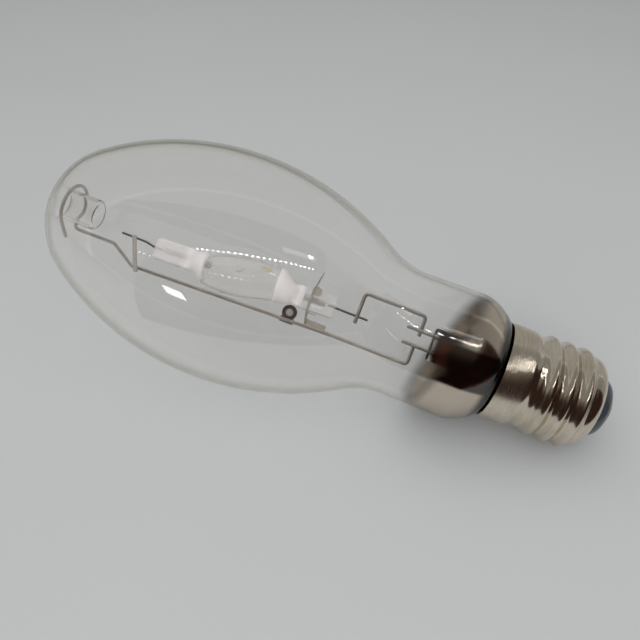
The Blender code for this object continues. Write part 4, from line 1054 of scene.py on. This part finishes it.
def light_room(scene):
    """Dim even room, a little lighter low down and on one side, with a line that only gloss shows."""
    scene.world = bpy.data.worlds.new("studio_world")
    node = bare_tree(scene.world)
    where = node("TexCoord").outputs["Generated"]
    axes = node("SeparateXYZ", {"Vector": where})
    height = node("MapRange", {"Value": axes.outputs["Z"], "To Min": 0.31, "To Max": 0.25}, **SOFT)
    beam = node("VectorMath", {0: where, 1: (-0.427, 0.803, -0.415)}, operation="DOT_PRODUCT")
    far = node("MapRange", {"Value": beam, "From Min": -0.01, "From Max": 0.01, "To Max": 0.09}, **SOFT)
    off = node("Math", {0: beam}, operation="ABSOLUTE")
    line = node("MapRange", {"Value": off, "From Min": 0.045, "From Max": 0.0, "To Max": 0.4}, **SOFT)
    path = node("LightPath")
    mirrored = node("Math", {0: path.outputs["Glossy Depth"], 1: 0.5}, operation="GREATER_THAN")
    seen = node("Math", {0: line, 1: mirrored}, operation="MULTIPLY")
    both = node("Math", {0: far, 1: seen}, operation="ADD")
    level = node("Math", {0: height, 1: both}, operation="ADD")
    sky = node("Background", {"Color": linear("#FFFEFB"), "Strength": level})
    node("OutputWorld", {"Surface": sky})


def only_mirrored(node, shader, through=0, most=20):
    """Shader of a studio card that shows in up to so many reflections, and is clear when looked at."""
    path = node("LightPath")
    mirrored = node("Math", {0: path.outputs["Glossy Depth"], 1: 0.5}, operation="GREATER_THAN")
    passed = node("Math", {0: path.outputs["Transmission Depth"], 1: through - 0.5},
            operation="GREATER_THAN")
    few = node("Math", {0: path.outputs["Glossy Depth"], 1: most + 0.5}, operation="LESS_THAN")
    both = node("Math", {0: mirrored, 1: passed}, operation="MULTIPLY")
    seen = node("Math", {0: both, 1: few}, operation="MULTIPLY")
    clear = node("BsdfTransparent", {"Color": linear("#FFFFFF")})
    return node("MixShader", {0: seen, 1: clear, 2: shader})


def only_in_gloss(card, finish):
    """Gives a studio card its finish and hides it from all but gloss and glass."""
    card.data.materials.append(finish)
    card.visible_camera = False
    card.visible_diffuse = False
    card.visible_shadow = False
    card.visible_volume_scatter = False


def add_glints(name, start, end, count, length, width, strength, through=0):
    """A row of small lit cards seen only as glints, after so many surfaces of glass if that is asked."""
    start, end = Vector(start), Vector(end)
    run = (end - start).normalized()
    across = Vector((0, 0, 1)).cross(run).normalized() * width / 2
    finish, node = new_finish("light_" + name)
    light = node("Emission", {"Color": linear("#FFFFFF"), "Strength": strength})
    node("OutputMaterial", {"Surface": only_mirrored(node, light, through, most=1)})
    cards = []
    for i in range(count):
        a = start.lerp(end, i / count)
        b = a + run * length
        deselect()
        bpy.ops.mesh.primitive_plane_add(size=1)
        card = just_made("%s_%02d" % (name, i))
        for point, corner in zip((0, 1, 3, 2), (a - across, b - across, b + across, a + across)):
            card.data.vertices[point].co = corner
        only_in_gloss(card, finish)
        cards.append(card)
    return cards


def hang_lights():
    """Two soft square lights, the strip of small ones and the single glints in the glass."""
    for name, place, pitch, size, power in (("soft_light", (0.03, -0.20, 0.66), 0, 1.42, 6.6),
                                            ("front_fill", (0.10, -1.3, 0.95), 54 * DEG, 1.2, 7.7)):
        bpy.ops.object.light_add(type="AREA", location=place, rotation=(pitch, 0, 0))
        light = just_made(name)
        light.data.shape = "SQUARE"
        light.data.size = size
        light.data.energy = power
        light.visible_camera = False
        light.visible_glossy = False
        light.visible_transmission = False
    add_glints("strip", STRIP_START, STRIP_END, 23, 0.019, 0.028, 34.0)
    for card in (add_glints("streak", (0.433, -0.128, 1.02), (0.771, 0.001, 1.02), 1, 0.36, 0.085, 2.6)
                 + add_glints("spot", (0.67, -0.02, 1.01), (0.72, 0.0, 1.01), 1, 0.06, 0.06, 30.0)):
        card.visible_transmission = False
    for card in add_glints("bar", (0.030, 0.081, 0.30), (0.068, 0.100, 0.30), 1, 0.036, 0.036, 24.0,
                           through=4):
        card.visible_glossy = False


def hang_dark_side():
    """Dark curved cloth on the camera's side that gives the metals their dark band."""
    deselect()
    middle, radius = Vector((0.03, 0, 0.05)), 0.20
    bpy.ops.mesh.primitive_cylinder_add(vertices=120, radius=radius, depth=1, end_fill_type="NOTHING",
            location=(middle.x, 0, 0.5))
    screen = just_made("dark_side")
    apply_place()
    for point in screen.data.vertices:
        heading = Vector((point.co.x - middle.x, point.co.y, 0)).normalized()
        if point.co.z > 0.5:
            # its upper edge stays below the strip of small lights, as seen from the lamp
            share = max(0.0, min(1.0, (heading.x + 0.35) / 1.3))
            away = STRIP_START.lerp(STRIP_END, share) - middle
            point.co.z = middle.z + radius * (away.z / hypot(away.x, away.y)) * 0.74
    pick(screen)
    bpy.ops.object.mode_set(mode="EDIT")
    bpy.ops.mesh.select_mode(type="FACE")
    bpy.ops.mesh.select_all(action="DESELECT")
    edit_done()
    for face in screen.data.polygons:
        heading = degrees(atan2(face.center.y, face.center.x - middle.x))
        face.select = not -140 < heading < 3
    bpy.ops.object.mode_set(mode="EDIT")
    bpy.ops.mesh.delete(type="FACE")
    edit_done()
    finish, node = new_finish("dark_cloth")
    place = coordinates(node)
    folds = clouded_tone(node, place, 111.1, 2.0, linear("#201B19"), linear("#3A2620"))[0]
    axes = node("SeparateXYZ", {"Vector": place})
    upper = node("MapRange", {"Value": axes.outputs["Z"], "From Min": 0.13, "From Max": 0.27}, **SOFT)
    fade = node("Mix", {"Factor": upper, "A": folds, "B": linear("#7E766A")}, **TONE)
    cloth = node("Emission", {"Color": fade, "Strength": 1.0})
    node("OutputMaterial", {"Surface": only_mirrored(node, cloth)})
    only_in_gloss(screen, finish)


def aim_camera(scene):
    data = bpy.data.cameras.new("photo_camera")
    data.lens = CAMERA_LENS
    data.sensor_width = 36.0
    camera = bpy.data.objects.new("photo_camera", data)
    scene.collection.objects.link(camera)
    camera.location = CAMERA_AT
    camera.rotation_euler = (90 * DEG - CAMERA_PITCH, 0, CAMERA_HEADING)
    scene.camera = camera


# add-on

class LampSizes(bpy.types.PropertyGroup):
    """Sizes and colours of the lamp that a user would change."""

    glass_wall: bpy.props.FloatProperty(name="Glass wall", description="Wall of the blown bulb",
                                        default=1.0 * MM, unit="LENGTH", precision=5)
    belly_r: bpy.props.FloatProperty(name="Belly radius", description="Widest radius of the bulb",
                                     default=45.0 * MM, unit="LENGTH", precision=5)
    thread_pitch: bpy.props.FloatProperty(name="Thread pitch", description="Pitch of the rolled cap thread",
                                          default=6.35 * MM, unit="LENGTH", precision=5)
    thread_turn: bpy.props.FloatProperty(name="Thread turn", description="Turn of the first thread crest",
                                         default=-107.97 * DEG, subtype="ANGLE")
    floor_colour: bpy.props.FloatVectorProperty(name="Floor", description="Colour of the studio floor",
                                                default=linear("#B8BABB")[:3], subtype="COLOR", size=3)


def finishes_of(scene):
    """The finishes, made on first use and found again by name."""
    store = scene.get("lamp_finishes")
    if store is None:
        made = make_finishes()
        scene["lamp_finishes"] = {key: value.name for key, value in made.items()}
        return made
    return {key: bpy.data.materials[name] for key, name in store.to_dict().items()}


def build(context, *builders):
    """Runs the builders of one operator; what goes wrong in one is raised, and stops the script."""
    for builder in builders:
        builder(context.scene.lamp_sizes, finishes_of(context.scene))
    return {"FINISHED"}


class LAMP_OT_outer_bulb(bpy.types.Operator):
    """Blow the outer bulb with its dimple, neck and mirror film"""
    bl_idname = "lamp.outer_bulb"
    bl_label = "Outer bulb"

    def execute(self, context):
        return build(context, build_outer_bulb)


class LAMP_OT_cap_shell(bpy.types.Operator):
    """Roll the threaded shell of the cap"""
    bl_idname = "lamp.cap_shell"
    bl_label = "Cap shell"

    def execute(self, context):
        return build(context, build_cap_shell)


class LAMP_OT_cap_end(bpy.types.Operator):
    """Make the insulator, contact, solder and cement of the cap"""
    bl_idname = "lamp.cap_end"
    bl_label = "Cap end"

    def execute(self, context):
        return build(context, build_cap_end, build_side_solder, build_cement)


class LAMP_OT_stem(bpy.types.Operator):
    """Press the flared stem and seal its exhaust tube"""
    bl_idname = "lamp.stem"
    bl_label = "Stem"

    def execute(self, context):
        return build(context, build_stem)


class LAMP_OT_wires(bpy.types.Operator):
    """Bend the posts, leads, frame wire and brackets of the mount"""
    bl_idname = "lamp.wires"
    bl_label = "Wires"

    def execute(self, context):
        return build(context, build_posts, build_frame_wire, build_brackets, build_arc_leads)


class LAMP_OT_arc_tube(bpy.types.Operator):
    """Make the quartz arc tube with its electrodes, foils and salts"""
    bl_idname = "lamp.arc_tube"
    bl_label = "Arc tube"

    def execute(self, context):
        return build(context, build_arc_tube, build_electrodes, build_dose)


class LAMP_OT_strap_and_getter(bpy.types.Operator):
    """Stamp the strap on the pinch and the getter ring"""
    bl_idname = "lamp.strap_and_getter"
    bl_label = "Strap and getter"

    def execute(self, context):
        return build(context, build_strap, build_getter)


class LAMP_OT_studio(bpy.types.Operator):
    """Set up the floor, lights and camera"""
    bl_idname = "lamp.studio"
    bl_label = "Studio"

    def execute(self, context):
        scene = context.scene
        scene.view_settings.view_transform = "Standard"
        lay_floor(scene.lamp_sizes.floor_colour)
        light_room(scene)
        hang_lights()
        hang_dark_side()
        aim_camera(scene)
        return {"FINISHED"}


STEPS = (LAMP_OT_outer_bulb, LAMP_OT_cap_shell, LAMP_OT_cap_end, LAMP_OT_stem, LAMP_OT_wires,
         LAMP_OT_arc_tube, LAMP_OT_strap_and_getter, LAMP_OT_studio)


class LAMP_PT_panel(bpy.types.Panel):
    """Sidebar panel with the lamp's sizes and building steps"""
    bl_label = "Metal halide lamp"
    bl_idname = "LAMP_PT_panel"
    bl_space_type = "VIEW_3D"
    bl_region_type = "UI"
    bl_category = "Lamp"

    def draw(self, context):
        sizes = context.scene.lamp_sizes
        for name in ("glass_wall", "belly_r", "thread_pitch", "thread_turn", "floor_colour"):
            self.layout.prop(sizes, name)
        for step in STEPS:
            self.layout.operator(step.bl_idname)


def register():
    for part in (LampSizes, *STEPS, LAMP_PT_panel):
        bpy.utils.register_class(part)
    bpy.types.Scene.lamp_sizes = bpy.props.PointerProperty(type=LampSizes)


def unregister():
    del bpy.types.Scene.lamp_sizes
    for part in (LAMP_PT_panel, *reversed(STEPS), LampSizes):
        bpy.utils.unregister_class(part)


def main():
    register()
    bpy.ops.lamp.outer_bulb()
    bpy.ops.lamp.cap_shell()
    bpy.ops.lamp.cap_end()
    bpy.ops.lamp.stem()
    bpy.ops.lamp.wires()
    bpy.ops.lamp.arc_tube()
    bpy.ops.lamp.strap_and_getter()
    bpy.ops.lamp.studio()


if __name__ == "__main__":
    main()
